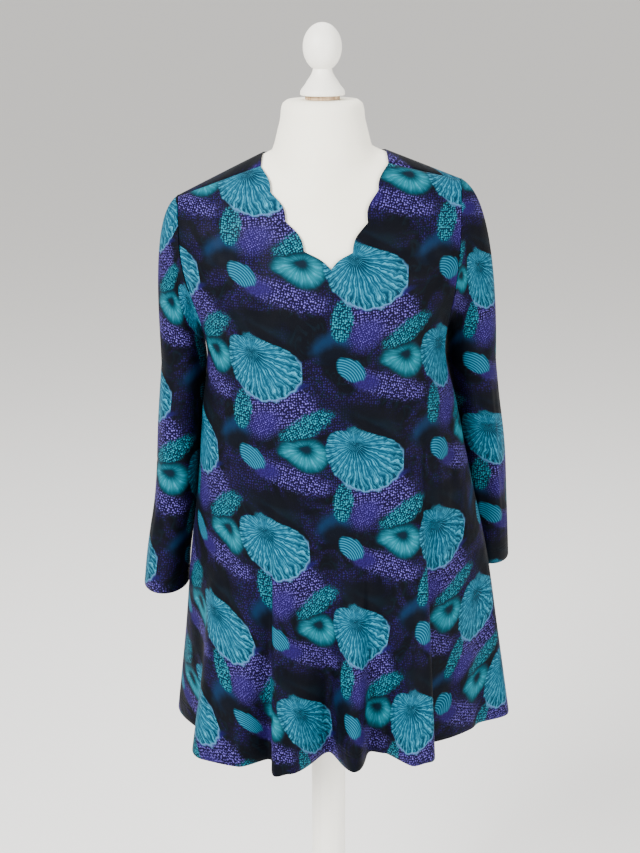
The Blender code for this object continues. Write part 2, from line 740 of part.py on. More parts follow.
def make_form():
    rings = [form_ring(z) for z in FORM_RINGS]
    rings[0] = rings[0] * np.array([FORM_EDGE, FORM_EDGE, 1.0])
    return stack_rings("form_torso", rings, "form_jersey")


def make_finial():
    disc_z = FORM_TOP_Z + FACE_GAP
    sides = [circle(DISC_RADIUS, disc_z, NECK_X, 24), circle(DISC_RADIUS, disc_z + DISC_HEIGHT, NECK_X, 24)]
    stack_rings("neck_disc", sides, "bare_wood")
    foot_z = disc_z + DISC_HEIGHT + FACE_GAP
    rings = [circle(radius, foot_z + height, NECK_X, 24) for radius, height in FINIAL_PROFILE]
    neck_radius, neck_height = FINIAL_PROFILE[-1]
    lowest = math.asin(neck_radius / BALL_RADIUS)
    centre_z = foot_z + neck_height + BALL_HALF_HEIGHT * math.cos(lowest)
    for turn in np.linspace(math.pi - lowest, 0.12, 11)[1:]:
        height = centre_z + BALL_HALF_HEIGHT * math.cos(turn)
        rings.append(circle(BALL_RADIUS * math.sin(turn), height, NECK_X, 24))
    return stack_rings("finial", rings, "painted_wood")


def make_stand():
    base = [
        circle(BASE_RADIUS, 0.0, sides=48),
        circle(BASE_RADIUS, BASE_THICKNESS - BASE_EDGE, sides=48),
        circle(BASE_RADIUS - BASE_EDGE, BASE_THICKNESS, sides=48),
    ]
    stack_rings("stand_base", base, "painted_wood")
    pole = [circle(POLE_RADIUS, BASE_THICKNESS + FACE_GAP), circle(POLE_RADIUS, FORM_LEVELS[0][0] - FACE_GAP)]
    stack_rings("stand_pole", pole, "painted_wood")


clear_scene()
make_front()
make_back()
make_sleeve("sleeve_left", -1, SLEEVE_LEFT)
make_sleeve("sleeve_right", 1, SLEEVE_RIGHT)
make_form()
make_finial()
make_stand()
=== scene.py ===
import math

import bpy
import numpy as np
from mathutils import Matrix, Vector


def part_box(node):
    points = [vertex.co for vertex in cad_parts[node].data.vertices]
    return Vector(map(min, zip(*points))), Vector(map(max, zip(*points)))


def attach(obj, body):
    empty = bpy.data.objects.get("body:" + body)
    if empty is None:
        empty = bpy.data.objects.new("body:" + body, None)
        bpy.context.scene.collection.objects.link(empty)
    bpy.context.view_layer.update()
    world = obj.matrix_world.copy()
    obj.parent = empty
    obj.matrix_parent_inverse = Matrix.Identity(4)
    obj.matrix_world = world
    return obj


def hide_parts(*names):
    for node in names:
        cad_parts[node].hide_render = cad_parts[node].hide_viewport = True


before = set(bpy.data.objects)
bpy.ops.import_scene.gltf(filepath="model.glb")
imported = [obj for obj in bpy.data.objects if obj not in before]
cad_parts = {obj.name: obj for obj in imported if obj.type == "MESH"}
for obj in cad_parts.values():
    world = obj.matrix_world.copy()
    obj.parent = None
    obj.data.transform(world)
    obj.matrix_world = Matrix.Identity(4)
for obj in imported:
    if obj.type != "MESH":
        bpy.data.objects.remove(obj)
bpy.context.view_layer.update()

# ---- Studio
# A plain pale floor under broad soft light, seen from in front of the form, a little above its
# shoulders and looking slightly down. None of this is part of the object.

VIEWPOINT = (-0.007, -2.0, 1.66)
VIEW_TILT = 72.4
VIEW_ROLL = 0.3
VIEW_LENS = 61.45
FLOOR_SIZE = 160.0
FLOOR_COLOUR = (0.86, 0.85, 0.83, 1.0)
FLOOR_ROUGHNESS = 0.9
ROOM_COLOUR = (1.0, 0.985, 0.96, 1.0)
ROOM_STRENGTH = 0.95

view_data = bpy.data.cameras.new("studio_view")
view_data.lens = VIEW_LENS
view = bpy.data.objects.new("studio_view", view_data)
view.location = VIEWPOINT
view.rotation_euler = (math.radians(VIEW_TILT), math.radians(VIEW_ROLL), 0.0)
bpy.context.scene.collection.objects.link(view)
bpy.context.scene.camera = view

floor_mesh = bpy.data.meshes.new("floor")
half_floor = FLOOR_SIZE / 2
floor_corners = [(x * half_floor, y * half_floor, 0) for x, y in ((-1, -1), (1, -1), (1, 1), (-1, 1))]
floor_mesh.from_pydata(floor_corners, [], [(0, 1, 2, 3)])
floor = bpy.data.objects.new("floor", floor_mesh)
bpy.context.scene.collection.objects.link(floor)
floor_finish = bpy.data.materials.new("floor_paint")
floor_finish.use_nodes = True
floor_inputs = floor_finish.node_tree.nodes["Principled BSDF"].inputs
floor_inputs["Base Color"].default_value = FLOOR_COLOUR
floor_inputs["Roughness"].default_value = FLOOR_ROUGHNESS
floor_mesh.materials.append(floor_finish)

room = bpy.data.worlds.new("room_light")
room.use_nodes = True
room_inputs = room.node_tree.nodes["Background"].inputs
room_inputs["Color"].default_value = ROOM_COLOUR
room_inputs["Strength"].default_value = ROOM_STRENGTH
bpy.context.scene.world = room

SOFT_LIGHTS = (
    # name, place, aimed at, size, power
    ("window", (-2.1, -2.3, 2.9), (0.0, 0.0, 1.05), 1.4, 330.0),
    ("bounce", (2.4, -2.2, 1.9), (0.0, 0.0, 1.00), 2.0, 150.0),
    ("ceiling", (0.0, 1.2, 3.4), (0.0, 0.0, 1.20), 2.2, 80.0),
)
for name, place, target, size, power in SOFT_LIGHTS:
    light = bpy.data.lights.new(name, "AREA")
    light.size = size
    light.energy = power
    lamp = bpy.data.objects.new(name, light)
    lamp.location = place
    away = np.array(place) - np.array(target)
    lamp.rotation_euler = (
        math.atan2(math.hypot(away[0], away[1]), away[2]),
        0.0,
        math.atan2(away[0], -away[1]),
    )
    bpy.context.scene.collection.objects.link(lamp)

# ---- Dress form
# A padded torso without limbs, covered tight in plain cream jersey up to a flat neck cap. The tunic
# hangs from its shoulders; below the hips it ends in a flat board on the pole.

FORM_LEVELS = (
    # z, half width, front, back, centre_y
    (0.700, 0.128, 0.096, 0.096, 0.004),
    (0.740, 0.140, 0.104, 0.106, 0.004),
    (0.830, 0.151, 0.110, 0.116, 0.002),
    (0.920, 0.141, 0.104, 0.106, 0.000),
    (1.000, 0.126, 0.098, 0.092, 0.000),
    (1.080, 0.140, 0.116, 0.098, 0.000),
    (1.160, 0.157, 0.136, 0.112, 0.000),
    (1.240, 0.163, 0.136, 0.112, 0.000),
    (1.360, 0.166, 0.136, 0.112, 0.000),
    (1.500, 0.166, 0.136, 0.112, 0.000),
)
NECK_LEVELS = (
    # z, radius
    (1.330, 0.0600),
    (1.400, 0.0690),
    (1.415, 0.0705),
    (1.430, 0.0655),
    (1.444, 0.0620),
    (1.462, 0.0575),
    (1.476, 0.0558),
    (1.483, 0.0535),
    (1.487, 0.0480),
)
NECK_X = -0.0045
NECK_BLEND = 0.02
BUST_Z = 1.16
RIDGE_TOP_Z = 1.4454
RIDGE_LEFT = (0.505, 0.030)
RIDGE_RIGHT = (0.390, 0.010)
FRONT_FALL = 1.5
BACK_FALL = 2.6
SIDE_POWER = 2.5
FORM_SIDES = 128
FORM_RINGS = 150
FORM_EDGE = 0.96
FORM_EDGE_HEIGHT = 0.006
FORM_CAP_DROPS = (0.0040, 0.0022, 0.0008, 0.0)
FORM_GIRTH = 0.9
FORM_CREAM = (0.93, 0.89, 0.76, 1.0)
FORM_SHADE = (0.88, 0.84, 0.70, 1.0)


def table_column(table, index):
    return np.array([row[index] for row in table], float)


def smooth_curve(x, xs, ys):
    """Cubic curve through a table's rows, level beyond its ends."""
    x = np.clip(x, xs[0], xs[-1])
    slopes = np.gradient(ys, xs)
    i = np.clip(np.searchsorted(xs, x, side="right") - 1, 0, len(xs) - 2)
    width = xs[i + 1] - xs[i]
    t = (x - xs[i]) / width
    start = (1 + 2 * t) * (1 - t) ** 2 * ys[i] + t * (1 - t) ** 2 * width * slopes[i]
    end = t * t * (3 - 2 * t) * ys[i + 1] + t * t * (t - 1) * width * slopes[i + 1]
    return start + end


def level_value(z, table, index):
    return smooth_curve(z, table_column(table, 0), table_column(table, index))


def ridge_z(x):
    """Height of the shoulder ridge at x."""
    slope, soft = (np.where(x < 0, a, b) for a, b in zip(RIDGE_LEFT, RIDGE_RIGHT))
    return RIDGE_TOP_Z - slope * (np.hypot(x, soft) - soft)


def ridge_fall(x, z, power, grow):
    """1 at the bust, falling to 0 at the shoulder ridge."""
    t = np.clip((z - BUST_Z) / (ridge_z(x) + grow - BUST_Z), 0, 1)
    return np.sqrt(1 - t**power)


def with_neck(depth, x, z, grow):
    """Depth of the torso at x, run softly into the neck above the chest."""
    radius = level_value(z, NECK_LEVELS, 1) + grow
    neck = np.where(z > NECK_LEVELS[0][0], np.sqrt(np.clip(radius**2 - (x - NECK_X) ** 2, 0, None)), 0)
    share = np.clip((z - NECK_LEVELS[0][0]) / (NECK_LEVELS[1][0] - NECK_LEVELS[0][0]), 0, 1)
    blend = 0.001 + NECK_BLEND * share
    mix = np.clip(1 - np.abs(depth - neck) / blend, 0, 1) * np.clip(np.minimum(depth, neck) / blend, 0, 1)
    return np.where(share > 0, np.maximum(depth, neck) + mix * mix * blend / 4, depth)


def form_depth(x, z, front):
    """Half depth of the form at x and z."""
    c = np.clip(np.abs(x) / level_value(z, FORM_LEVELS, 1), 0, 1)
    depth = level_value(z, FORM_LEVELS, 2 if front else 3) * np.sqrt(1 - c**SIDE_POWER)
    return with_neck(depth * ridge_fall(x, z, FRONT_FALL if front else BACK_FALL, 0.0), x, z, 0.0)


def form_ring(z):
    """Ring of the form at one height, found outward from the axis."""
    turn = np.linspace(0, 2 * np.pi, FORM_SIDES, endpoint=False)
    direction = np.stack([np.cos(turn), np.sin(turn)])
    low, high = np.zeros(FORM_SIDES), np.full(FORM_SIDES, 0.3)
    level = np.full(FORM_SIDES, z)
    for _ in range(30):
        middle = (low + high) / 2
        x, y = direction * middle
        depth = np.where(y < 0, form_depth(x, level, True), form_depth(x, level, False))
        low = np.where(np.abs(y) < depth, middle, low)
        high = np.where(np.abs(y) < depth, high, middle)
    centre = float(level_value(np.array(z), FORM_LEVELS, 4))
    return np.stack([direction[0] * low, centre + direction[1] * low, level], axis=1)


def add_piece(name, points, faces, finishes, replaced, smooth_angle=180):
    """Mesh object on the frame's one body, in place of the construction's own solid."""
    mesh = bpy.data.meshes.new(name)
    mesh.from_pydata(np.asarray(points).reshape(-1, 3).tolist(), [], faces)
    mesh.shade_smooth()
    if smooth_angle < 180:
        mesh.set_sharp_from_angle(angle=math.radians(smooth_angle))
    for finish in finishes:
        mesh.materials.append(finish)
    made = bpy.data.objects.new(name, mesh)
    bpy.context.scene.collection.objects.link(made)
    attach(made, "root")
    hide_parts(replaced)
    return made


def ring_faces(rings, count):
    """Faces of rings stacked upward, closed flat at both ends."""
    faces = [tuple(range(count))[::-1]]
    for j in range(rings - 1):
        for i in range(count):
            a = j * count + i
            b = j * count + (i + 1) % count
            faces.append((a, b, b + count, a + count))
    faces.append(tuple(range((rings - 1) * count, rings * count)))
    return faces


def add_node(tree, kind, **settings):
    made = tree.nodes.new("ShaderNode" + kind)
    for setting, value in settings.items():
        setattr(made, setting, value)
    return made


def feed(tree, socket, value):
    """Sets a socket to a number or colour, or links another node's output to it."""
    if isinstance(value, (int, float, tuple)):
        socket.default_value = value
    else:
        tree.links.new(value, socket)


def calc(tree, operation, *values):
    made = add_node(tree, "Math", operation=operation)
    for socket, value in zip(made.inputs, values):
        feed(tree, socket, value)
    return made.outputs[0]


def ramp(tree, value, low, high, start=0.0, end=1.0):
    """Value carried smoothly from low..high to start..end."""
    made = add_node(tree, "MapRange", interpolation_type="SMOOTHSTEP")
    labels = ("Value", "From Min", "From Max", "To Min", "To Max")
    for label, given in zip(labels, (value, low, high, start, end)):
        feed(tree, made.inputs[label], given)
    return made.outputs["Result"]


def blend_colour(tree, share, under, over, kind="MIX"):
    made = add_node(tree, "Mix", data_type="RGBA", blend_type=kind)
    feed(tree, made.inputs[0], share)
    feed(tree, made.inputs[6], under)
    feed(tree, made.inputs[7], over)
    return made.outputs[2]


def parts(tree, vector):
    """The X, Y and Z of a vector."""
    made = add_node(tree, "SeparateXYZ")
    feed(tree, made.inputs[0], vector)
    return made.outputs


def noise(tree, place, scale, detail=2.0, distortion=0.0, dimensions="2D"):
    """Soft noise over flat cloth, or through a solid where it has three dimensions."""
    made = add_node(tree, "TexNoise", noise_dimensions=dimensions)
    feed(tree, made.inputs["Vector"], place)
    for label, value in (("Scale", scale), ("Detail", detail), ("Distortion", distortion)):
        made.inputs[label].default_value = value
    return made.outputs["Fac"]


def new_group(name, inputs, outputs):
    """Shader node group with its named sockets, and its two end nodes."""
    tree = bpy.data.node_groups.new(name, "ShaderNodeTree")
    for label, kind, value in inputs:
        socket = tree.interface.new_socket(label, in_out="INPUT", socket_type="NodeSocket" + kind)
        if value is not None:
            socket.default_value = value
    for label, kind in outputs:
        tree.interface.new_socket(label, in_out="OUTPUT", socket_type="NodeSocket" + kind)
    return tree, tree.nodes.new("NodeGroupInput"), tree.nodes.new("NodeGroupOutput")


def place_group(tree, group, **values):
    made = add_node(tree, "Group", node_tree=group)
    for label, value in values.items():
        feed(tree, made.inputs[label], value)
    return made.outputs


def knit_group():
    """Fine ribs of a single jersey: wales side by side, each a column of small loops."""
    tree, start, end = new_group(
        "knit",
        (("Cloth", "Vector", None), ("Wale", "Float", 0.0011), ("Course", "Float", 0.0014)),
        (("Height", "Float"),),
    )
    x, y, _ = parts(tree, start.outputs["Cloth"])
    across = calc(tree, "DIVIDE", x, start.outputs["Wale"])
    up = calc(tree, "DIVIDE", y, start.outputs["Course"])
    wale = calc(tree, "SINE", calc(tree, "MULTIPLY", across, 2 * math.pi))
    slant = calc(tree, "ABSOLUTE", calc(tree, "SUBTRACT", calc(tree, "FRACT", across), 0.5))
    loop = calc(tree, "SINE", calc(tree, "MULTIPLY", calc(tree, "ADD", up, slant), 2 * math.pi))
    height = calc(tree, "ADD", calc(tree, "MULTIPLY", wale, 0.6), calc(tree, "MULTIPLY", loop, 0.4))
    feed(tree, end.inputs["Height"], height)
    return tree


def new_material(name):
    made = bpy.data.materials.new(name)
    made.use_nodes = True
    return made, made.node_tree, made.node_tree.nodes["Principled BSDF"]


def bump(tree, shader, height, distance, strength=1.0):
    made = add_node(tree, "Bump")
    made.inputs["Distance"].default_value = distance
    made.inputs["Strength"].default_value = strength
    feed(tree, made.inputs["Height"], height)
    tree.links.new(made.outputs["Normal"], shader.inputs["Normal"])


knit = knit_group()


def form_jersey():
    made, tree, shader = new_material("form_jersey")
    cloud = noise(tree, add_node(tree, "TexCoord").outputs["Object"], 9.0, 3.0, dimensions="3D")
    colour = blend_colour(tree, ramp(tree, cloud, 0.35, 0.70), FORM_CREAM, FORM_SHADE)
    feed(tree, shader.inputs["Base Color"], colour)
    feed(tree, shader.inputs["Roughness"], ramp(tree, cloud, 0.3, 0.7, 0.82, 0.9))
    shader.inputs["Sheen Weight"].default_value = 0.15
    shader.inputs["Specular IOR Level"].default_value = 0.3
    cloth = add_node(tree, "UVMap", uv_map="cut").outputs[0]
    bump(tree, shader, place_group(tree, knit, Cloth=cloth)["Height"], 0.00012, 0.6)
    return made


form_low, form_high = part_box("form_torso")
form_z = np.linspace(form_low[2] + FORM_EDGE_HEIGHT, form_high[2] - FORM_CAP_DROPS[0], FORM_RINGS)
form_z = np.concatenate([[form_low[2]], form_z, form_high[2] - np.array(FORM_CAP_DROPS[1:])])
form_rings = np.array([form_ring(z) for z in form_z])
form_rings[0] = form_rings[0] * np.array([FORM_EDGE, FORM_EDGE, 1.0])
form_faces = ring_faces(len(form_z), FORM_SIDES)
form_cover = add_piece("form_cover", form_rings, form_faces, [form_jersey()], "form_torso")


def set_uv(made, name, across, up):
    """Lays the cloth's own flat measures, in metres, on the mesh as a UV map."""
    layer = made.data.uv_layers.new(name=name)
    corners = np.empty(len(made.data.loops), np.int32)
    made.data.loops.foreach_get("vertex_index", corners)
    flat = np.stack([np.ravel(across), np.ravel(up)], axis=1)[corners]
    layer.data.foreach_set("uv", flat.astype(np.float32).ravel())


form_across, form_up = np.meshgrid(np.linspace(0, FORM_GIRTH, FORM_SIDES, endpoint=False), form_z)
set_uv(form_cover, "cut", form_across, form_up)

# ---- Finial, disc, pole and base
# Turned wood: a thin bare disc glued on the neck cap, and on it a flared finial with an egg on top,
# painted off-white. The pole and the round base below are painted the same.

TURNED_SIDES = 96
DISC_RADIUS = 0.0235
DISC_EDGE = 0.0006
FINIAL_FOOT = (
    # radius, height above the disc
    (0.0292, 0.0000),
    (0.0300, 0.0008),
    (0.0302, 0.0035),
    (0.0296, 0.0058),
    (0.0280, 0.0085),
    (0.0240, 0.0133),
    (0.0205, 0.0190),
    (0.0170, 0.0240),
    (0.0145, 0.0285),
    (0.0132, 0.0322),
    (0.0128, 0.0345),
)
BALL_RADIUS = 0.0262
BALL_HALF_HEIGHT = 0.0320
POLE_EDGE = 0.0012
POLE_MARGIN = 0.01
BASE_EDGE = 0.001
BASE_ROUND = 0.0045
BASE_TOP_RINGS = (0.12, 0.07, 0.028)
PAINT = (0.84, 0.82, 0.75, 1.0)
PAINT_WORN = (0.66, 0.61, 0.52, 1.0)
BARE_WOOD = (0.44, 0.31, 0.19, 1.0)
BARE_WOOD_DARK = (0.25, 0.155, 0.085, 1.0)


def turned(name, profile, centre_x, finish, replaced):
    """Turned piece from its radius and height pairs, bottom first, closed at both ends."""
    turn = np.linspace(0, 2 * np.pi, TURNED_SIDES, endpoint=False)
    rings = []
    for radius, z in profile:
        x, y = centre_x + radius * np.cos(turn), radius * np.sin(turn)
        rings.append(np.stack([x, y, 0 * turn + z], axis=1))
    return add_piece(name, rings, ring_faces(len(rings), TURNED_SIDES), [finish], replaced, 40)


def grain_group():
    """Long streaks of wood grain along the piece, with finer pores in them."""
    tree, start, end = new_group(
        "grain",
        (("Place", "Vector", None), ("Streak", "Float", 120.0), ("Length", "Float", 6.0)),
        (("Mask", "Float"),),
    )
    stretch = add_node(tree, "CombineXYZ")
    scales = [start.outputs[label] for label in ("Streak", "Streak", "Length")]
    for socket, value, scale in zip(stretch.inputs, parts(tree, start.outputs["Place"]), scales):
        feed(tree, socket, calc(tree, "MULTIPLY", value, scale))
    streaks = noise(tree, stretch.outputs[0], 1.0, 5.0, 0.8, dimensions="3D")
    feed(tree, end.inputs["Mask"], ramp(tree, streaks, 0.32, 0.68))
    return tree


grain = grain_group()


def painted_wood():
    made, tree, shader = new_material("painted_wood")
    place = add_node(tree, "TexCoord").outputs["Object"]
    streaks = place_group(tree, grain, Place=place, Streak=70.0, Length=5.0)["Mask"]
    cloud = noise(tree, place, 28.0, 4.0, dimensions="3D")
    edge = add_node(tree, "NewGeometry").outputs["Pointiness"]
    rubbed = calc(tree, "MULTIPLY", ramp(tree, edge, 0.52, 0.60), ramp(tree, cloud, 0.40, 0.60))
    thin = calc(tree, "MULTIPLY", streaks, 0.16)
    worn = calc(tree, "MAXIMUM", calc(tree, "MULTIPLY", rubbed, 0.7), thin)
    feed(tree, shader.inputs["Base Color"], blend_colour(tree, worn, PAINT, PAINT_WORN))
    feed(tree, shader.inputs["Roughness"], ramp(tree, cloud, 0.3, 0.7, 0.38, 0.55))
    bump(tree, shader, calc(tree, "ADD", streaks, cloud), 0.0002, 0.35)
    return made


def bare_wood():
    made, tree, shader = new_material("bare_wood")
    place = add_node(tree, "TexCoord").outputs["Object"]
    streaks = place_group(tree, grain, Place=place, Streak=260.0, Length=40.0)["Mask"]
    feed(tree, shader.inputs["Base Color"], blend_colour(tree, streaks, BARE_WOOD_DARK, BARE_WOOD))
    feed(tree, shader.inputs["Roughness"], ramp(tree, streaks, 0.0, 1.0, 0.7, 0.58))
    bump(tree, shader, streaks, 0.0002, 0.5)
    return made


paint = painted_wood()

disc_low, disc_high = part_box("neck_disc")
disc_profile = [
    (DISC_RADIUS - DISC_EDGE, disc_low[2]),
    (DISC_RADIUS, disc_low[2] + DISC_EDGE),
    (DISC_RADIUS, disc_high[2] - DISC_EDGE),
    (DISC_RADIUS - DISC_EDGE, disc_high[2]),
]
turned("wood_disc", disc_profile, NECK_X, bare_wood(), "neck_disc")

finial_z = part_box("finial")[0][2]
finial_profile = [(radius, finial_z + height) for radius, height in FINIAL_FOOT]
waist_radius, waist_height = FINIAL_FOOT[-1]
waist_turn = math.asin(waist_radius / BALL_RADIUS)
egg_z = finial_z + waist_height + BALL_HALF_HEIGHT * math.cos(waist_turn)
for turn in np.linspace(math.pi - waist_turn, 0.03, 44)[1:]:
    finial_profile.append((BALL_RADIUS * math.sin(turn), egg_z + BALL_HALF_HEIGHT * math.cos(turn)))
turned("turned_finial", finial_profile, NECK_X, paint, "finial")

pole_low, pole_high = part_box("stand_pole")
pole_radius = float(pole_high[0])
pole_profile = [(pole_radius - POLE_EDGE, pole_low[2]), (pole_radius, pole_low[2] + POLE_EDGE)]
pole_z = np.linspace(pole_low[2] + POLE_MARGIN, pole_high[2] - POLE_MARGIN, 24)
pole_profile += [(pole_radius, z) for z in pole_z]
pole_profile += [(pole_radius, pole_high[2] - POLE_EDGE), (pole_radius - POLE_EDGE, pole_high[2])]
turned("turned_pole", pole_profile, 0.0, paint, "stand_pole")

base_low, base_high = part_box("stand_base")
base_radius = float(base_high[0])
base_profile = [(base_radius - BASE_EDGE, base_low[2]), (base_radius, base_low[2] + BASE_EDGE)]
for turn in np.linspace(0, math.pi / 2, 9):
    edge = (math.cos(turn) - 1, math.sin(turn) - 1)
    base_profile.append((base_radius + BASE_ROUND * edge[0], base_high[2] + BASE_ROUND * edge[1]))
base_profile += [(radius, base_high[2]) for radius in BASE_TOP_RINGS]
turned("round_base", base_profile, 0.0, paint, "stand_base")

# ---- Jersey and its print
# Soft polyester jersey, printed on its face only: gilled shells in turquoise, glowing bowls, dotted
# fields and leaves over a near-black ground, in a half-drop repeat. The back of the cloth stays pale.

REPEAT_ACROSS = 0.152
REPEAT_UP = 0.250
GROUND_BLACK = (0.00016, 0.00055, 0.0022, 1.0)
GROUND_SLATE = (0.00047, 0.0031, 0.0062, 1.0)
GROUND_PURPLE = (0.0017, 0.00086, 0.0074, 1.0)
SHELL_DEEP = (0.00016, 0.0078, 0.019, 1.0)
SHELL_TEAL = (0.00031, 0.033, 0.062, 1.0)
SHELL_VEIN = (0.027, 0.24, 0.35, 1.0)
RIM_LILAC = (0.047, 0.14, 0.26, 1.0)
STREAK_BLUE = (0.0039, 0.0027, 0.062, 1.0)
FIELD_PURPLE = (0.0028, 0.0011, 0.016, 1.0)
FIELD_VIOLET = (0.0066, 0.0023, 0.043, 1.0)
DOT_LILAC = (0.11, 0.082, 0.37, 1.0)
DOT_VIOLET = (0.012, 0.0062, 0.074, 1.0)
TEAL_BLUE = (0.00023, 0.0094, 0.021, 1.0)
DOT_TEAL = (0.0094, 0.17, 0.22, 1.0)
BOWL_GLOW = (0.00078, 0.09, 0.12, 1.0)
BOWL_DARK = (0.00016, 0.0055, 0.012, 1.0)
ARC_BLUE = (0.00047, 0.011, 0.035, 1.0)

SHELL_OUTLINE = (
    # degrees from straight down, anticlockwise on the cloth; reach from the hinge
    (-180, 0.016),
    (-150, 0.022),
    (-130, 0.030),
    (-108, 0.040),
    (-88, 0.043),
    (-60, 0.046),
    (-30, 0.053),
    (0, 0.064),
    (28, 0.075),
    (55, 0.084),
    (74, 0.080),
    (90, 0.062),
    (104, 0.042),
    (126, 0.026),
    (180, 0.016),
)
BOWL_OUTLINE = (
    (-180, 0.014),
    (-120, 0.022),
    (-96, 0.044),
    (-82, 0.047),
    (-58, 0.036),
    (-25, 0.034),
    (10, 0.038),
    (45, 0.043),
    (80, 0.036),
    (110, 0.026),
    (180, 0.014),
)
OUTLINE_SCALE = 0.09
GILL_ORDERS = (
    # times the count, shift, starts at share, full at share, strength
    (1.0, 0.0, -1.0, -0.5, 1.0),
    (2.0, 0.9, 0.20, 0.38, 0.85),
    (4.0, 0.4, 0.50, 0.70, 0.6),
)


def repeat_group():
    """Place on the cloth, measured from the nearest copy of a motif in the half-drop repeat."""
    tree, start, end = new_group(
        "print_repeat",
        (("Cloth", "Vector", None), ("Across", "Float", 0.0), ("Up", "Float", 0.0), ("Turn", "Float", 0.0)),
        (("Place", "Vector"),),
    )
    x, y, _ = parts(tree, start.outputs["Cloth"])
    u = calc(tree, "SUBTRACT", x, start.outputs["Across"])
    v = calc(tree, "SUBTRACT", y, start.outputs["Up"])
    lane = calc(tree, "FLOOR", calc(tree, "MULTIPLY_ADD", u, 1 / REPEAT_ACROSS, 0.5))
    u = calc(tree, "MULTIPLY_ADD", lane, -REPEAT_ACROSS, u)
    v = calc(tree, "MULTIPLY_ADD", calc(tree, "FLOORED_MODULO", lane, 2.0), -REPEAT_UP / 2, v)
    row = calc(tree, "FLOOR", calc(tree, "MULTIPLY_ADD", v, 1 / REPEAT_UP, 0.5))
    v = calc(tree, "MULTIPLY_ADD", row, -REPEAT_UP, v)
    flat = add_node(tree, "CombineXYZ")
    feed(tree, flat.inputs[0], u)
    feed(tree, flat.inputs[1], v)
    turn = add_node(tree, "VectorRotate", rotation_type="Z_AXIS", invert=True)
    feed(tree, turn.inputs["Vector"], flat.outputs[0])
    feed(tree, turn.inputs["Angle"], start.outputs["Turn"])
    feed(tree, end.inputs["Place"], turn.outputs[0])
    return tree


def patch_group():
    """Soft-edged oval, with an edge that wanders a little."""
    tree, start, end = new_group(
        "print_patch",
        (
            ("Place", "Vector", None),
            ("Width", "Float", 0.04),
            ("Height", "Float", 0.02),
            ("Soft", "Float", 0.15),
        ),
        (("Mask", "Float"),),
    )
    wander = noise(tree, start.outputs["Place"], 55.0)
    across, up, _ = parts(tree, start.outputs["Place"])
    x = calc(tree, "DIVIDE", across, calc(tree, "MULTIPLY", start.outputs["Width"], 0.5))
    y = calc(tree, "DIVIDE", up, calc(tree, "MULTIPLY", start.outputs["Height"], 0.5))
    away = calc(tree, "SQRT", calc(tree, "ADD", calc(tree, "MULTIPLY", x, x), calc(tree, "MULTIPLY", y, y)))
    away = calc(tree, "ADD", away, calc(tree, "MULTIPLY_ADD", wander, 0.5, -0.25))
    inner = calc(tree, "SUBTRACT", 1.0, start.outputs["Soft"])
    outer = calc(tree, "ADD", 1.0, start.outputs["Soft"])
    feed(tree, end.inputs["Mask"], ramp(tree, away, inner, outer, 1.0, 0.0))
    return tree


def dots_group():
    """Scattered round dots of uneven size and brightness."""
    tree, start, end = new_group(
        "print_dots",
        (("Place", "Vector", None), ("Spacing", "Float", 0.004), ("Size", "Float", 0.35)),
        (("Mask", "Float"),),
    )
    cells = add_node(tree, "TexVoronoi", voronoi_dimensions="2D", feature="F1")
    feed(tree, cells.inputs["Vector"], start.outputs["Place"])
    feed(tree, cells.inputs["Scale"], calc(tree, "DIVIDE", 1.0, start.outputs["Spacing"]))
    cells.inputs["Randomness"].default_value = 0.6
    tone = add_node(tree, "SeparateColor")
    feed(tree, tone.inputs[0], cells.outputs["Color"])
    uneven = calc(tree, "MULTIPLY_ADD", tone.outputs[0], 0.7, 0.6)
    reach = calc(tree, "MULTIPLY", start.outputs["Size"], uneven)
    dot = ramp(tree, cells.outputs["Distance"], calc(tree, "MULTIPLY", reach, 0.45), reach, 1.0, 0.0)
    bright = calc(tree, "MULTIPLY_ADD", tone.outputs[1], 0.6, 0.4)
    feed(tree, end.inputs["Mask"], calc(tree, "MULTIPLY", dot, bright))
    return tree


def fan_group(name, outline):
    """Fan about its hinge: share of the way out, turn round it, and the mask of its outline."""
    tree, start, end = new_group(
        name,
        (("Place", "Vector", None),),
        (("Share", "Float"), ("Turn", "Float"), ("Mask", "Float")),
    )
    x, y, _ = parts(tree, start.outputs["Place"])
    turn = calc(tree, "ARCTAN2", x, calc(tree, "MULTIPLY", y, -1.0))
    length = add_node(tree, "VectorMath", operation="LENGTH")
    feed(tree, length.inputs[0], start.outputs["Place"])
    curve = add_node(tree, "FloatCurve")
    points = curve.mapping.curves[0].points
    for point, (degrees, reach) in zip((points[0], points[1]), (outline[0], outline[-1])):
        point.location = (degrees / 360 + 0.5, reach / OUTLINE_SCALE)
    for degrees, reach in outline[1:-1]:
        points.new(degrees / 360 + 0.5, reach / OUTLINE_SCALE)
    curve.mapping.update()
    feed(tree, curve.inputs["Value"], calc(tree, "MULTIPLY_ADD", turn, 1 / (2 * math.pi), 0.5))
    wobble = calc(tree, "MULTIPLY_ADD", noise(tree, start.outputs["Place"], 45.0), 0.2, 0.9)
    edge = calc(tree, "MULTIPLY", curve.outputs[0], wobble)
    reach = calc(tree, "MULTIPLY", edge, OUTLINE_SCALE)
    share = calc(tree, "DIVIDE", length.outputs["Value"], reach)
    feed(tree, end.inputs["Share"], share)
    feed(tree, end.inputs["Turn"], turn)
    feed(tree, end.inputs["Mask"], ramp(tree, share, 0.96, 1.03, 1.0, 0.0))
    return tree


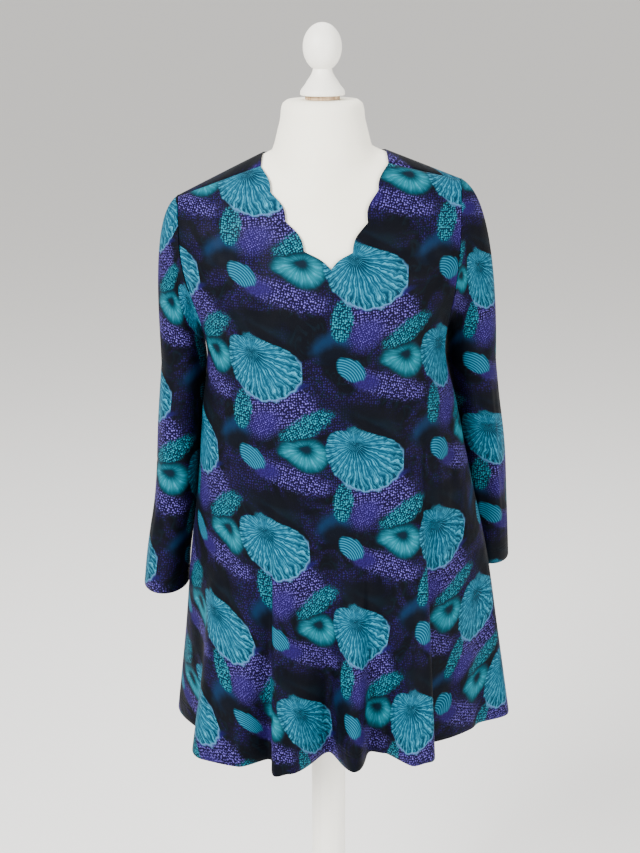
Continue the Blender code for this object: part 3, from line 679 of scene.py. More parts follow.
def gills_group():
    """Thin pale gills that run out from a hinge, wander and fork."""
    tree, start, end = new_group(
        "print_gills",
        (
            ("Place", "Vector", None),
            ("Turn", "Float", 0.0),
            ("Share", "Float", 0.0),
            ("Count", "Float", 14.0),
        ),
        (("Mask", "Float"),),
    )
    drift = calc(tree, "MULTIPLY_ADD", noise(tree, start.outputs["Place"], 58.0), 0.22, -0.11)
    stroke = ramp(tree, noise(tree, start.outputs["Place"], 130.0), 0.36, 0.62, 0.35, 1.0)
    few = calc(tree, "MULTIPLY", calc(tree, "ADD", start.outputs["Turn"], drift), start.outputs["Count"])
    every = 0.0
    for times, shift, low, high, strength in GILL_ORDERS:
        wave = calc(tree, "ABSOLUTE", calc(tree, "SINE", calc(tree, "MULTIPLY_ADD", few, times, shift)))
        line = ramp(tree, wave, 0.0, 0.46, strength, 0.0)
        line = calc(tree, "MULTIPLY", line, ramp(tree, start.outputs["Share"], low, high))
        every = calc(tree, "MAXIMUM", every, line)
    feed(tree, end.inputs["Mask"], calc(tree, "MULTIPLY", every, stroke))
    return tree


repeat = repeat_group()
patch = patch_group()
dots = dots_group()
shell_fan = fan_group("shell_fan", SHELL_OUTLINE)
bowl_fan = fan_group("bowl_fan", BOWL_OUTLINE)
gills = gills_group()

SOFT_PATCHES = (
    # colour, across, up, width, height, degrees, softness, strength
    (GROUND_SLATE, 0.020, 0.032, 0.088, 0.030, -16, 0.5, 0.9),
    (GROUND_BLACK, 0.030, 0.018, 0.096, 0.016, -28, 0.4, 0.95),
    (GROUND_BLACK, 0.030, -0.206, 0.100, 0.022, -10, 0.5, 0.9),
    (ARC_BLUE, -0.034, -0.116, 0.056, 0.036, 18, 0.35, 0.95),
    (GROUND_BLACK, -0.030, -0.128, 0.050, 0.030, 10, 0.45, 0.95),
)
DOTTED_PATCHES = (
    # ground, dots, across, up, width, height, degrees, softness, spacing, dot size
    (FIELD_PURPLE, DOT_LILAC, 0.041, -0.074, 0.104, 0.058, 6, 0.25, 0.0038, 0.34),
    (FIELD_VIOLET, DOT_LILAC, 0.016, -0.100, 0.050, 0.034, 24, 0.5, 0.0031, 0.24),
    (FIELD_PURPLE, DOT_LILAC, 0.054, -0.172, 0.124, 0.032, -15, 0.3, 0.0036, 0.34),
    (FIELD_VIOLET, DOT_VIOLET, 0.016, -0.164, 0.040, 0.022, -12, 0.5, 0.0034, 0.40),
    (TEAL_BLUE, DOT_TEAL, 0.080, -0.101, 0.080, 0.030, 28, 0.25, 0.0031, 0.46),
    (TEAL_BLUE, DOT_TEAL, -0.018, -0.082, 0.031, 0.054, -8, 0.16, 0.0034, 0.46),
    (STREAK_BLUE, DOT_VIOLET, 0.044, -0.056, 0.070, 0.010, 20, 0.5, 0.0030, 0.30),
)


def ground_colour(tree, cloth):
    """Smoky near-black ground with slate and purple drifts."""
    drift = noise(tree, cloth, 15.0, 3.0, 1.2)
    wisps = noise(tree, cloth, 42.0, 4.0, 2.5)
    colour = blend_colour(tree, ramp(tree, drift, 0.40, 0.58), GROUND_BLACK, GROUND_PURPLE)
    colour = blend_colour(tree, ramp(tree, wisps, 0.50, 0.68, 0.0, 0.8), colour, GROUND_SLATE)
    specks = place_group(tree, dots, Place=cloth, Spacing=0.0036, Size=0.34)["Mask"]
    strewn = calc(tree, "MULTIPLY", specks, ramp(tree, drift, 0.42, 0.60))
    return blend_colour(tree, strewn, colour, DOT_VIOLET)


def band(tree, value, rise, fall):
    """1 between two soft edges, each given by its two ends."""
    return calc(tree, "MULTIPLY", ramp(tree, value, *rise), ramp(tree, value, *fall, 1.0, 0.0))


def stripes(tree, value, steps):
    return calc(tree, "ABSOLUTE", calc(tree, "SINE", calc(tree, "MULTIPLY", value, steps)))


def place_patch(tree, cloth, across, up, degrees, width, height, soft):
    """One patch in every repeat: the place on it, and its mask."""
    place = place_group(tree, repeat, Cloth=cloth, Across=across, Up=up, Turn=math.radians(degrees))["Place"]
    return place, place_group(tree, patch, Place=place, Width=width, Height=height, Soft=soft)["Mask"]


def add_shell(tree, cloth, colour):
    """Large gilled shell, lilac along its lower rim."""
    place = place_group(tree, repeat, Cloth=cloth)["Place"]
    fan = place_group(tree, shell_fan, Place=place)
    lines = place_group(tree, gills, Place=place, Turn=fan["Turn"], Share=fan["Share"], Count=16.0)["Mask"]
    body = blend_colour(tree, ramp(tree, fan["Share"], 0.05, 0.45), SHELL_DEEP, SHELL_TEAL)
    body = blend_colour(tree, ramp(tree, fan["Share"], 0.60, 1.0, 0.0, 0.75), body, SHELL_DEEP)
    body = blend_colour(tree, calc(tree, "MULTIPLY", lines, 0.85), body, SHELL_VEIN)
    low_side = band(tree, fan["Turn"], (-0.7, 0.0), (1.2, 1.7))
    rim = calc(tree, "MULTIPLY", ramp(tree, fan["Share"], 0.955, 0.985), low_side)
    body = blend_colour(tree, rim, body, RIM_LILAC)
    return blend_colour(tree, fan["Mask"], colour, body)


def add_flap(tree, cloth, colour):
    """Second, folded gill behind the shell's hinge, striped across."""
    place, shape = place_patch(tree, cloth, 0.029, -0.001, -30, 0.090, 0.022, 0.12)
    x, y, _ = parts(tree, place)
    wave = stripes(tree, calc(tree, "MULTIPLY_ADD", y, 1.6, x), 1000.0)
    body = blend_colour(tree, ramp(tree, wave, 0.10, 0.60, 0.8, 0.0), SHELL_DEEP, SHELL_VEIN)
    return blend_colour(tree, shape, colour, body)


def add_bowl(tree, cloth, colour):
    """Glowing bowl, dark in its middle, with streaks that run out of it."""
    place = place_group(tree, repeat, Cloth=cloth, Across=0.080, Up=-0.130)["Place"]
    fan = place_group(tree, bowl_fan, Place=place)
    lines = place_group(tree, gills, Place=place, Turn=fan["Turn"], Share=fan["Share"], Count=7.0)["Mask"]
    glow = band(tree, fan["Share"], (0.12, 0.55), (0.50, 1.0))
    glow = calc(tree, "MULTIPLY", glow, ramp(tree, parts(tree, place)[1], -0.008, 0.014, 1.0, 0.2))
    body = blend_colour(tree, glow, BOWL_DARK, BOWL_GLOW)
    streaks = calc(tree, "MULTIPLY", calc(tree, "MULTIPLY", lines, 0.55), glow)
    body = blend_colour(tree, streaks, body, SHELL_VEIN)
    return blend_colour(tree, ramp(tree, fan["Share"], 0.88, 1.06, 1.0, 0.0), colour, body)


def add_small_fan(tree, cloth, colour):
    """Small fan of nested curved stripes."""
    place, shape = place_patch(tree, cloth, -0.006, -0.147, -30, 0.046, 0.028, 0.14)
    shifted = add_node(tree, "VectorMath", operation="ADD")
    feed(tree, shifted.inputs[0], place)
    shifted.inputs[1].default_value = (0.004, 0.030, 0.0)
    length = add_node(tree, "VectorMath", operation="LENGTH")
    feed(tree, length.inputs[0], shifted.outputs[0])
    wave = stripes(tree, length.outputs["Value"], 900.0)
    body = blend_colour(tree, ramp(tree, wave, 0.1, 0.7, 0.55, 0.0), SHELL_TEAL, SHELL_VEIN)
    return blend_colour(tree, shape, colour, body)


def print_group():
    """The whole print, from the place on the cut cloth."""
    tree, start, end = new_group("gill_print", (("Cloth", "Vector", None),), (("Colour", "Color"),))
    cloth = start.outputs["Cloth"]
    colour = ground_colour(tree, cloth)
    for over, across, up, width, height, degrees, soft, strength in SOFT_PATCHES:
        _, shape = place_patch(tree, cloth, across, up, degrees, width, height, soft)
        colour = blend_colour(tree, calc(tree, "MULTIPLY", shape, strength), colour, over)
    for under, dot, across, up, width, height, degrees, soft, spacing, size in DOTTED_PATCHES:
        place, shape = place_patch(tree, cloth, across, up, degrees, width, height, soft)
        specks = place_group(tree, dots, Place=place, Spacing=spacing, Size=size)["Mask"]
        colour = blend_colour(tree, calc(tree, "MULTIPLY", shape, 0.92), colour, under)
        colour = blend_colour(tree, calc(tree, "MULTIPLY", specks, shape), colour, dot)
    colour = add_bowl(tree, cloth, colour)
    colour = add_small_fan(tree, cloth, colour)
    colour = add_flap(tree, cloth, colour)
    feed(tree, end.inputs["Colour"], add_shell(tree, cloth, colour))
    return tree


STITCH_LINE = 0.020
STITCH_PITCH = 0.0032
NEEDLE_GAP = 0.0045
REVERSE_GREY = (0.16, 0.18, 0.24, 1.0)


def hem_group():
    """Twin-needle stitches on a turned edge: a shallow groove with a row of short threads beside it."""
    tree, start, end = new_group("hem_stitch", (("Edge", "Vector", None),), (("Height", "Float"),))
    x, y, _ = parts(tree, start.outputs["Edge"])
    along = calc(tree, "FRACT", calc(tree, "DIVIDE", x, STITCH_PITCH))
    dash = ramp(tree, along, 0.72, 0.82, 1.0, 0.0)
    rows = []
    for height in (STITCH_LINE, STITCH_LINE + NEEDLE_GAP):
        off = calc(tree, "ABSOLUTE", calc(tree, "SUBTRACT", y, height))
        thread = calc(tree, "MULTIPLY", ramp(tree, off, 0.0001, 0.0004, 1.0, 0.0), dash)
        groove = ramp(tree, off, 0.0003, 0.0018, -0.8, 0.0)
        rows.append(calc(tree, "ADD", groove, calc(tree, "MULTIPLY", thread, 0.6)))
    feed(tree, end.inputs["Height"], calc(tree, "ADD", rows[0], rows[1]))
    return tree


gill_print = print_group()
hem_stitch = hem_group()


def jersey_print():
    made, tree, shader = new_material("jersey_print")
    cloth = add_node(tree, "UVMap", uv_map="cut").outputs[0]
    edge = add_node(tree, "UVMap", uv_map="edge").outputs[0]
    colour = place_group(tree, gill_print, Cloth=cloth)["Colour"]
    feed(tree, shader.inputs["Base Color"], colour)
    feed(tree, shader.inputs["Roughness"], ramp(tree, noise(tree, cloth, 30.0), 0.3, 0.7, 0.60, 0.74))
    shader.inputs["Specular IOR Level"].default_value = 0.06
    shader.inputs["Sheen Weight"].default_value = 0.006
    shader.inputs["Sheen Roughness"].default_value = 0.40
    ribs = place_group(tree, knit, Cloth=cloth)["Height"]
    stitches = place_group(tree, hem_stitch, Edge=edge)["Height"]
    height = calc(tree, "ADD", calc(tree, "MULTIPLY", ribs, 0.10), stitches)
    bump(tree, shader, height, 0.0005, 0.7)
    return made


def jersey_reverse():
    made, tree, shader = new_material("jersey_reverse")
    cloth = add_node(tree, "UVMap", uv_map="cut").outputs[0]
    shown = place_group(tree, gill_print, Cloth=cloth)["Colour"]
    feed(tree, shader.inputs["Base Color"], blend_colour(tree, 0.60, shown, REVERSE_GREY))
    ribs = place_group(tree, knit, Cloth=cloth, Wale=0.0014, Course=0.0011)["Height"]
    feed(tree, shader.inputs["Roughness"], ramp(tree, ribs, -1.0, 1.0, 0.75, 0.85))
    bump(tree, shader, ribs, 0.0001, 0.5)
    return made


face_cloth = jersey_print()
reverse_cloth = jersey_reverse()

# ---- Tunic front
# One A-line panel of jersey, cut on the straight grain with a scalloped V neck, sewn to the back at
# the shoulders and sides. Its fullness falls from the bust in soft plumb flutes to a turned hem.

CLOTH_EASE = 0.0030
HEM_Z = 0.594
MID_Z = 1.10
UNDERARM_Z = 1.165
CLOTH_THICKNESS = 0.0011
SEAM_SINK = 0.0007
BODY_LEVELS = (
    # z, left, right, front, back, centre_y
    (0.594, 0.226, 0.269, 0.152, 0.165, -0.020),
    (0.720, 0.210, 0.250, 0.150, 0.150, -0.014),
    (0.840, 0.198, 0.231, 0.146, 0.136, -0.008),
    (0.950, 0.184, 0.206, 0.142, 0.124, -0.004),
    (1.060, 0.175, 0.183, 0.141, 0.116, 0.000),
    (1.160, 0.168, 0.164, 0.139, 0.114, 0.000),
    (1.200, 0.181, 0.173, 0.139, 0.114, 0.000),
    (1.250, 0.205, 0.190, 0.139, 0.114, 0.000),
    (1.300, 0.225, 0.205, 0.138, 0.113, 0.000),
    (1.360, 0.236, 0.216, 0.137, 0.112, 0.000),
    (1.500, 0.240, 0.220, 0.136, 0.112, 0.000),
)
HEM_FOLDS = (
    # fold, x, y, dies_out_z
    ("side_left", -0.2265, -0.030, 0.90),
    ("hollow_left", -0.1925, -0.098, 0.86),
    ("crest_a_edge", -0.1774, -0.188, 0.90),
    ("crest_a", -0.1268, -0.208, 0.96),
    ("hollow_ab", -0.0837, -0.188, 0.95),
    ("crest_b_edge", -0.0735, -0.2346, 0.96),
    ("crest_b", -0.0553, -0.228, 0.94),
    ("hollow_bc", 0.0000, -0.169, 0.92),
    ("crest_c", 0.0345, -0.224, 0.90),
    ("hollow_cd", 0.0600, -0.168, 0.92),
    ("hollow_cd_end", 0.0796, -0.173, 0.95),
    ("crest_d", 0.1180, -0.209, 1.02),
    ("crest_d_edge", 0.1400, -0.199, 1.05),
    ("hollow_right", 0.1495, -0.143, 1.05),
    ("panel_right", 0.2078, -0.106, 1.00),
    ("crease_right", 0.2190, -0.090, 0.95),
    ("side_crest_right", 0.2676, -0.060, 0.95),
    ("side_right", 0.2640, 0.000, 0.95),
    ("back_hollow_1", 0.2150, 0.074, 0.85),
    ("back_crest_1", 0.1750, 0.150, 0.78),
    ("back_hollow_2", 0.1050, 0.140, 0.90),
    ("back_crest_2", 0.0500, 0.200, 1.00),
    ("back_hollow_3", -0.0100, 0.148, 0.90),
    ("back_crest_3", -0.0700, 0.190, 0.97),
    ("back_hollow_4", -0.1150, 0.135, 0.90),
    ("back_crest_4", -0.1620, 0.138, 0.95),
    ("back_hollow_5", -0.1950, 0.068, 0.88),
)
FOLD_GROWTH = 1.25
PLUMB_POWER = 1.6
SHOULDER_POINT = (0.2025, 0.1835)
NECK_POINT = (0.0882, 0.0835)
SEAM_DROP_NECK = 0.0125
SEAM_DROP_SHOULDER = 0.0004
ARMHOLES = (
    ((1.165, 0.1683), (1.185, 0.1700), (1.224, 0.1816), (1.276, 0.1955), (1.324, 0.2003)),
    ((1.165, 0.1645), (1.185, 0.1650), (1.224, 0.1700), (1.276, 0.1765), (1.324, 0.1810)),
)
V_POINT = (0.0055, 1.279)
SCALLOPS = (
    (
        # notch_x, notch_z, bulge: left of the V
        (-0.0745, 1.374, 0.0040),
        (-0.0545, 1.339, 0.0058),
        (-0.0300, 1.302, 0.0055),
        (V_POINT[0], V_POINT[1], 0.0030),
    ),
    (
        # right of the V
        (0.0690, 1.376, 0.0040),
        (0.0545, 1.337, 0.0058),
        (0.0340, 1.300, 0.0050),
        (V_POINT[0], V_POINT[1], 0.0030),
    ),
)
ARMHOLE_COLUMNS = 52
SHOULDER_COLUMNS = 32
SCALLOP_COLUMNS = 15
UPPER_ROWS = 62
LOWER_ROWS = 92
SHOULDER_HEM_SHARE = 0.66
NECK_LEAN = 0.0045
NECK_LEAN_REACH = 0.008
NECK_LEAN_FROM_V = 0.02
NECK_LEAN_FROM_SEAM = 0.012
NECK_EVENING = 0.15

# Small creases, each from one place to another as seen from the front: a trough where depth is
# negative, a soft ridge where it is positive
FRONT_CREASES = (
    # from_x, from_z, to_x, to_z, half_width, depth
    (-0.160, 1.205, -0.095, 1.135, 0.010, -0.0026),
    (-0.165, 1.180, -0.120, 1.060, 0.012, 0.0022),
    (-0.150, 1.250, -0.105, 1.190, 0.009, 0.0018),
    (0.155, 1.215, 0.100, 1.140, 0.010, -0.0024),
    (0.160, 1.180, 0.125, 1.050, 0.012, 0.0024),
    (0.140, 1.270, 0.105, 1.220, 0.008, 0.0015),
    (-0.145, 1.010, -0.140, 0.640, 0.008, -0.0034),
    (-0.120, 1.040, -0.112, 0.800, 0.011, 0.0022),
    (-0.186, 0.900, -0.190, 0.650, 0.007, -0.0026),
    (0.132, 1.090, 0.150, 0.800, 0.007, -0.0036),
    (0.146, 1.060, 0.166, 0.820, 0.009, 0.0030),
    (0.171, 1.040, 0.188, 0.830, 0.007, -0.0028),
    (-0.030, 1.090, -0.045, 0.900, 0.013, 0.0020),
    (0.050, 1.060, 0.055, 0.860, 0.012, -0.0022),
    (0.010, 0.990, 0.000, 0.820, 0.010, -0.0018),
    (0.085, 1.100, 0.095, 0.930, 0.014, 0.0020),
    (-0.080, 1.030, -0.078, 0.900, 0.010, -0.0022),
    (0.005, 1.262, 0.012, 1.175, 0.010, -0.0014),
    (-0.040, 1.245, 0.040, 1.236, 0.012, 0.0010),
)


def body_point(phi, z, swell=1.0):
    """Point of the tunic's body: phi runs round from the left side seam over the front."""
    c = np.cos(phi)
    front = np.sin(phi) >= 0
    width = np.where(c > 0, level_value(z, BODY_LEVELS, 1), level_value(z, BODY_LEVELS, 2)) + CLOTH_EASE
    depth = np.where(front, level_value(z, BODY_LEVELS, 3), level_value(z, BODY_LEVELS, 4)) + CLOTH_EASE
    x = -width * c * swell
    fall = ridge_fall(x, z, np.where(front, FRONT_FALL, BACK_FALL), CLOTH_EASE)
    y = depth * np.sqrt(1 - np.clip(np.abs(c), 0, 1) ** SIDE_POWER) * fall
    y = with_neck(y, x, z, CLOTH_EASE) * swell
    centre = level_value(z, BODY_LEVELS, 5)
    return np.stack([x, centre + np.where(front, -y, y), z], axis=-1)


def hem_girth(index):
    return BODY_LEVELS[0][index] + CLOTH_EASE


def fold_angle(x, y):
    """Angle and swell of a point of the hem, against the plain girth there."""
    centre = BODY_LEVELS[0][5]
    across = -x / np.where(x < 0, hem_girth(1), hem_girth(2))
    along = (centre - y) / np.where(y < centre, hem_girth(3), hem_girth(4))
    radius = (np.abs(across) ** SIDE_POWER + np.abs(along) ** 2) ** 0.5
    for _ in range(8):
        shape = np.abs(across / radius) ** SIDE_POWER + (along / radius) ** 2
        radius = radius * shape**0.45
    angle = np.arccos(np.clip(across / radius, -1, 1))
    return np.where(along >= 0, angle, 2 * np.pi - angle), radius


def fold_table():
    angles, swells = fold_angle(table_column(HEM_FOLDS, 1), table_column(HEM_FOLDS, 2))
    order = np.argsort(angles)
    angles, swells, starts = angles[order], swells[order], table_column(HEM_FOLDS, 3)[order]
    turn = 2 * np.pi
    return (
        np.concatenate([[angles[-1] - turn], angles, [angles[0] + turn]]),
        np.concatenate([[swells[-1]], swells, [swells[0]]]),
        np.concatenate([[starts[-1]], starts, [starts[0]]]),
    )


FOLD_ANGLES, FOLD_SWELLS, FOLD_STARTS = fold_table()


def fold_swell(angle, z):
    """Swell of the hem's folds at its angle, and their share of it at the height z."""
    i = np.clip(np.searchsorted(FOLD_ANGLES, angle, side="right") - 1, 0, len(FOLD_ANGLES) - 2)
    t = (angle - FOLD_ANGLES[i]) / (FOLD_ANGLES[i + 1] - FOLD_ANGLES[i])
    t = t * t * (3 - 2 * t)
    hem = FOLD_SWELLS[i] * (1 - t) + FOLD_SWELLS[i + 1] * t
    start = FOLD_STARTS[i] * (1 - t) + FOLD_STARTS[i + 1] * t
    share = np.clip((start - z) / (start - HEM_Z), 0, 1) ** FOLD_GROWTH
    return hem, 1 + share * (hem - 1)


def skirt_angle(angle, z):
    """Angle at height z of the column that meets the hem at angle: folds in front hang plumb."""
    hem, swell = fold_swell(angle, z)
    c = np.cos(angle)
    hem_width = np.where(c > 0, hem_girth(1), hem_girth(2))
    width = np.where(c > 0, level_value(z, BODY_LEVELS, 1), level_value(z, BODY_LEVELS, 2))
    plumb = hem_width * hem / ((width + CLOTH_EASE) * swell)
    c = c * plumb / (1 + (plumb - 1) * np.abs(c) ** PLUMB_POWER)
    phi = np.arccos(np.clip(c, -1, 1))
    return np.where(np.sin(angle) >= 0, phi, 2 * np.pi - phi), swell


def skirt_point(angle, z):
    phi, swell = skirt_angle(angle, z)
    return body_point(phi, z, swell)


def surface_normals(points_at, u, z):
    """Outward unit normals of a surface given as points_at(u, z)."""
    across = points_at(u + 2e-4, z) - points_at(u - 2e-4, z)
    down = points_at(u, z - 2e-5) - points_at(u, z)
    n = np.cross(down, across)
    return n / np.maximum(np.linalg.norm(n, axis=-1, keepdims=True), 1e-12)


def top_angle(x, z, back=False):
    """Girth angle of the point of the body at x and z."""
    width = np.where(x < 0, level_value(z, BODY_LEVELS, 1), level_value(z, BODY_LEVELS, 2)) + CLOTH_EASE
    phi = np.arccos(np.clip(-x / width, -1, 1))
    return 2 * np.pi - phi if back else phi


def armhole_stations(side, count):
    """From the underarm up to the shoulder point."""
    table = ARMHOLES[side > 0]
    tip_x = SHOULDER_POINT[side > 0]
    tip_z = float(ridge_z(np.array(side * tip_x))) + CLOTH_EASE - SEAM_DROP_SHOULDER
    levels = np.append(table_column(table, 0), tip_z)
    reach = np.append(table_column(table, 1), tip_x)
    share = np.linspace(0, 1, count)
    z = UNDERARM_Z + (tip_z - UNDERARM_Z) * share**2 * (3 - 2 * share)
    angle = top_angle(side * smooth_curve(z, levels, reach), z)
    from_side = (angle if side < 0 else np.pi - angle) * (1 - (1 - share) ** 4)
    width = level_value(z, BODY_LEVELS, 1 if side < 0 else 2) + CLOTH_EASE
    return side * width * np.cos(from_side), z


def shoulder_stations(side, count):
    """From the shoulder point along the seam to the neck point, both ends left out."""
    share = np.linspace(0, 1, count + 2)[1:-1]
    outer, inner = SHOULDER_POINT[side > 0], NECK_POINT[side > 0]
    x = side * (outer + (inner - outer) * share)
    drop = SEAM_DROP_SHOULDER + (SEAM_DROP_NECK - SEAM_DROP_SHOULDER) * share
    return x, ridge_z(x) + CLOTH_EASE - drop


def neckline(side):
    """Scalloped edge from the neck point to the V, as x and z."""
    neck_x = side * NECK_POINT[side > 0]
    start = np.array([neck_x, float(ridge_z(np.array(neck_x))) + CLOTH_EASE - SEAM_DROP_NECK])
    points = [start]
    for notch_x, notch_z, bulge in SCALLOPS[side > 0]:
        end = np.array([notch_x, notch_z])
        chord = end - start
        out = np.array([-side * abs(chord[1]), abs(chord[0])]) / np.linalg.norm(chord)
        for step in range(1, SCALLOP_COLUMNS + 1):
            t = step / SCALLOP_COLUMNS
            points.append(start + chord * t + out * bulge * math.sin(math.pi * t**1.25))
        start = end
    return np.array(points).T


def neck_lean(side, x):
    """How far each column below the scallops leans outward, so that none crosses its neighbour."""
    in_order = side * np.sort(side * x)[::-1]
    evened = (1 - NECK_EVENING) * in_order + NECK_EVENING * np.linspace(x[0], x[-1], len(x))
    from_v = np.clip(np.abs(x - V_POINT[0]) / NECK_LEAN_FROM_V, 0, 1)
    from_seam = np.clip((NECK_POINT[side > 0] - np.abs(x)) / NECK_LEAN_FROM_SEAM, 0, 1)
    return evened - x + side * NECK_LEAN * from_v * from_seam


def spread_angles(low, high, count, back):
    """Hem angles from low to high, set out by the length of hem between them."""
    turn = np.linspace(low, high, 400)
    hem = skirt_point(2 * np.pi - turn if back else turn, np.full(400, HEM_Z))
    run = np.concatenate([[0], np.cumsum(np.linalg.norm(np.diff(hem, axis=0), axis=1))])
    share = 0.75 * run / run[-1] + 0.25 * np.linspace(0, 1, 400)
    return np.interp(np.linspace(0, 1, count), share, turn)


def zone_angles(side, counts, back=False):
    """Hem angles of the columns below armhole, shoulder and neckline, from the side to the centre."""
    neck_share = NECK_POINT[side > 0] / hem_girth(1 if side < 0 else 2)
    ends = [0.0, math.acos(SHOULDER_HEM_SHARE), math.acos(neck_share), math.pi / 2]
    if side > 0:
        ends = [math.pi - end for end in ends]
    armhole = spread_angles(ends[0], ends[1], counts[0], back)
    shoulder = spread_angles(ends[1], ends[2], counts[1] + 2, back)[1:-1]
    neck = spread_angles(ends[2], ends[3], counts[2], back)
    angles = np.concatenate([armhole, shoulder, neck])
    return 2 * np.pi - angles if back else angles


def girth_run(start, end, z, steps=36):
    """Length of cloth round the girth at height z, from one angle to another."""
    share = np.linspace(0, 1, steps + 1)
    angle = start[..., None] + (end - start)[..., None] * share
    path = body_point(angle, z[..., None] + 0 * angle)
    return np.sign(end - start) * np.linalg.norm(np.diff(path, axis=-2), axis=-1).sum(axis=-1)


def rise_run(phi, z, steps=36):
    """Length of cloth from the waist's top up to height z."""
    level = MID_Z + (z - MID_Z)[..., None] * np.linspace(0, 1, steps + 1)
    path = body_point(phi[..., None] + 0 * level, level)
    return np.hypot(np.diff(path[..., 1], axis=-1), np.diff(path[..., 2], axis=-1)).sum(axis=-1)


# How much of the print's width each height takes up: the knit is drawn in between the flutes
PRINT_EASE = (
    # z, share
    (0.594, 1.40),
    (0.70, 1.38),
    (0.80, 1.33),
    (0.92, 1.20),
    (1.02, 1.11),
    (1.16, 1.08),
    (1.36, 1.00),
)
PRINT_CENTRE_X = 0.0365
PRINT_LIFT = 0.0547


def length_down(points):
    """Length of cloth from the top of each column of a grid down to each of its points."""
    steps = np.linalg.norm(np.diff(points, axis=0), axis=2)
    return np.concatenate([np.zeros((1, points.shape[1])), np.cumsum(steps, axis=0)])


def length_across(points):
    """Length of cloth from the first point of each row of a grid along to each of its points."""
    return length_down(points.swapaxes(0, 1)).T


def skirt_rows(hem):
    """Points and outward normals of the rows from the waist's top down to the hem."""
    z = MID_Z + (HEM_Z - MID_Z) * np.linspace(0, 1, LOWER_ROWS + 1)[1:, None] + 0 * hem[None, :]
    angle = hem[None, :] + 0 * z
    return skirt_point(angle, z), surface_normals(skirt_point, angle, z)


def skirt_cut(points, hem):
    """Flat measures of the lower grid: across from the print's centre line, and up from its top."""
    run = length_across(points)
    middle = np.abs(np.sin(hem)) > 0.9
    for j in range(len(points)):
        x = points[j, middle, 0]
        order = np.argsort(x)
        run[j] -= np.interp(PRINT_CENTRE_X, x[order], run[j, middle][order])
    return run, -length_down(points)


def crease_height(x, z, creases):
    height = np.zeros_like(x)
    for x0, z0, x1, z1, half_width, depth in creases:
        run = np.array([x1 - x0, z1 - z0])
        length = np.linalg.norm(run)
        t = ((x - x0) * run[0] + (z - z0) * run[1]) / length**2
        off = ((x - x0) * run[1] - (z - z0) * run[0]) / length
        off = off + 0.12 * half_width * np.sin(9 * t)
        taper = np.sin(np.pi * np.clip(t, 0, 1)) ** 0.8
        height += depth * taper * np.exp(-((off / half_width) ** 2))
    return height


def grid_quads(rows, columns):
    """Faces of a grid with rows from the top and columns from left to right."""
    index = np.arange(rows * columns).reshape(rows, columns)
    here, across = index[:, :-1], index[:, 1:]
    quads = np.stack([here[:-1], here[1:], across[1:], across[:-1]], axis=-1)
    return quads.reshape(-1, 4)


def edge_fade(distance, reach=0.0022):
    return np.exp(-((distance / reach) ** 2))


def sew_edges(points, normals, sewn):
    """Rolls the sewn edges of a panel slightly inward, so that a seam shows as a shallow valley."""
    sink = edge_fade(length_down(points)) * (sewn[None, :] > 0)
    for order in (slice(None), slice(None, None, -1)):
        sink = np.maximum(sink, edge_fade(length_across(points[:, order])[:, order]))
    return points - normals * sink[..., None] * SEAM_SINK


def thicken(made):
    """Gives the cloth its thickness inward, with the pale reverse on its inner side."""
    shell = made.modifiers.new("thickness", "SOLIDIFY")
    shell.thickness = CLOTH_THICKNESS
    shell.offset = -1.0
    shell.material_offset = 1
    shell.use_even_offset = False
    shell.use_rim = True


def add_panel(name, points, normals, sewn, across, up, creases, replaced):
    """Panel of cloth from its grid of points, with its seams, creases, flat measures and thickness."""
    points = sew_edges(points, normals, sewn)
    points = points + normals * crease_height(points[..., 0], points[..., 2], creases)[..., None]
    quads = grid_quads(*points.shape[:2]).tolist()
    made = add_piece(name, points, quads, [face_cloth, reverse_cloth], replaced)
    set_uv(made, "cut", across, up)
    set_uv(made, "edge", across, points[..., 2] - HEM_Z)
    thicken(made)
    return made


def print_ease(z):
    return smooth_curve(z, table_column(PRINT_EASE, 0), table_column(PRINT_EASE, 1))


def make_front():
    x, z, hem, sewn, lean = [], [], [], [], []
    for side in (-1, 1):
        arm_x, arm_z = armhole_stations(side, ARMHOLE_COLUMNS)
        top_x, top_z = shoulder_stations(side, SHOULDER_COLUMNS)
        neck_x, neck_z = neckline(side)
        half = [np.concatenate([arm_x, top_x, neck_x]), np.concatenate([arm_z, top_z, neck_z])]
        half.append(zone_angles(side, (len(arm_x), len(top_x), len(neck_x))))
        half.append(np.arange(len(half[0])) <= len(arm_x) + len(top_x))
        half.append(np.concatenate([np.zeros(len(arm_x) + len(top_x)), neck_lean(side, neck_x)]))
        for target, values in zip((x, z, hem, sewn, lean), half):
            target.append(values if side < 0 else values[::-1][1:])
    x, z, hem, sewn, lean = (np.concatenate(values) for values in (x, z, hem, sewn, lean))
    share = (np.linspace(0, 1, UPPER_ROWS) ** 1.5)[:, None]
    phi = top_angle(x, z) * (1 - share) + skirt_angle(hem, np.full_like(hem, MID_Z))[0] * share
    level = z * (1 - share) + MID_Z * share
    # Below the scallops the columns first lean outward, as a scallop overhangs the notch under it
    lean = lean * (1 - np.exp((level - z) / NECK_LEAN_REACH)) * (1 - share) ** 1.5
    phi = top_angle(body_point(phi, level)[..., 0] + lean, level)
    upper, upper_out = body_point(phi, level), surface_normals(body_point, phi, level)
    lower, lower_out = skirt_rows(hem)
    centre_phi = top_angle(np.full_like(level, PRINT_CENTRE_X), level)
    across_up, rise = girth_run(centre_phi, phi, level), rise_run(phi, level)
    across_low, drop = skirt_cut(np.concatenate([upper[-1:], lower]), hem)
    points, normals = np.concatenate([upper, lower]), np.concatenate([upper_out, lower_out])
    across = np.concatenate([across_up, across_low[1:]]) * print_ease(points[..., 2])
    up = np.concatenate([rise, drop[1:]]) + PRINT_LIFT
    return add_panel("front_panel", points, normals, sewn, across, up, FRONT_CREASES, "tunic_front")


front_panel = make_front()

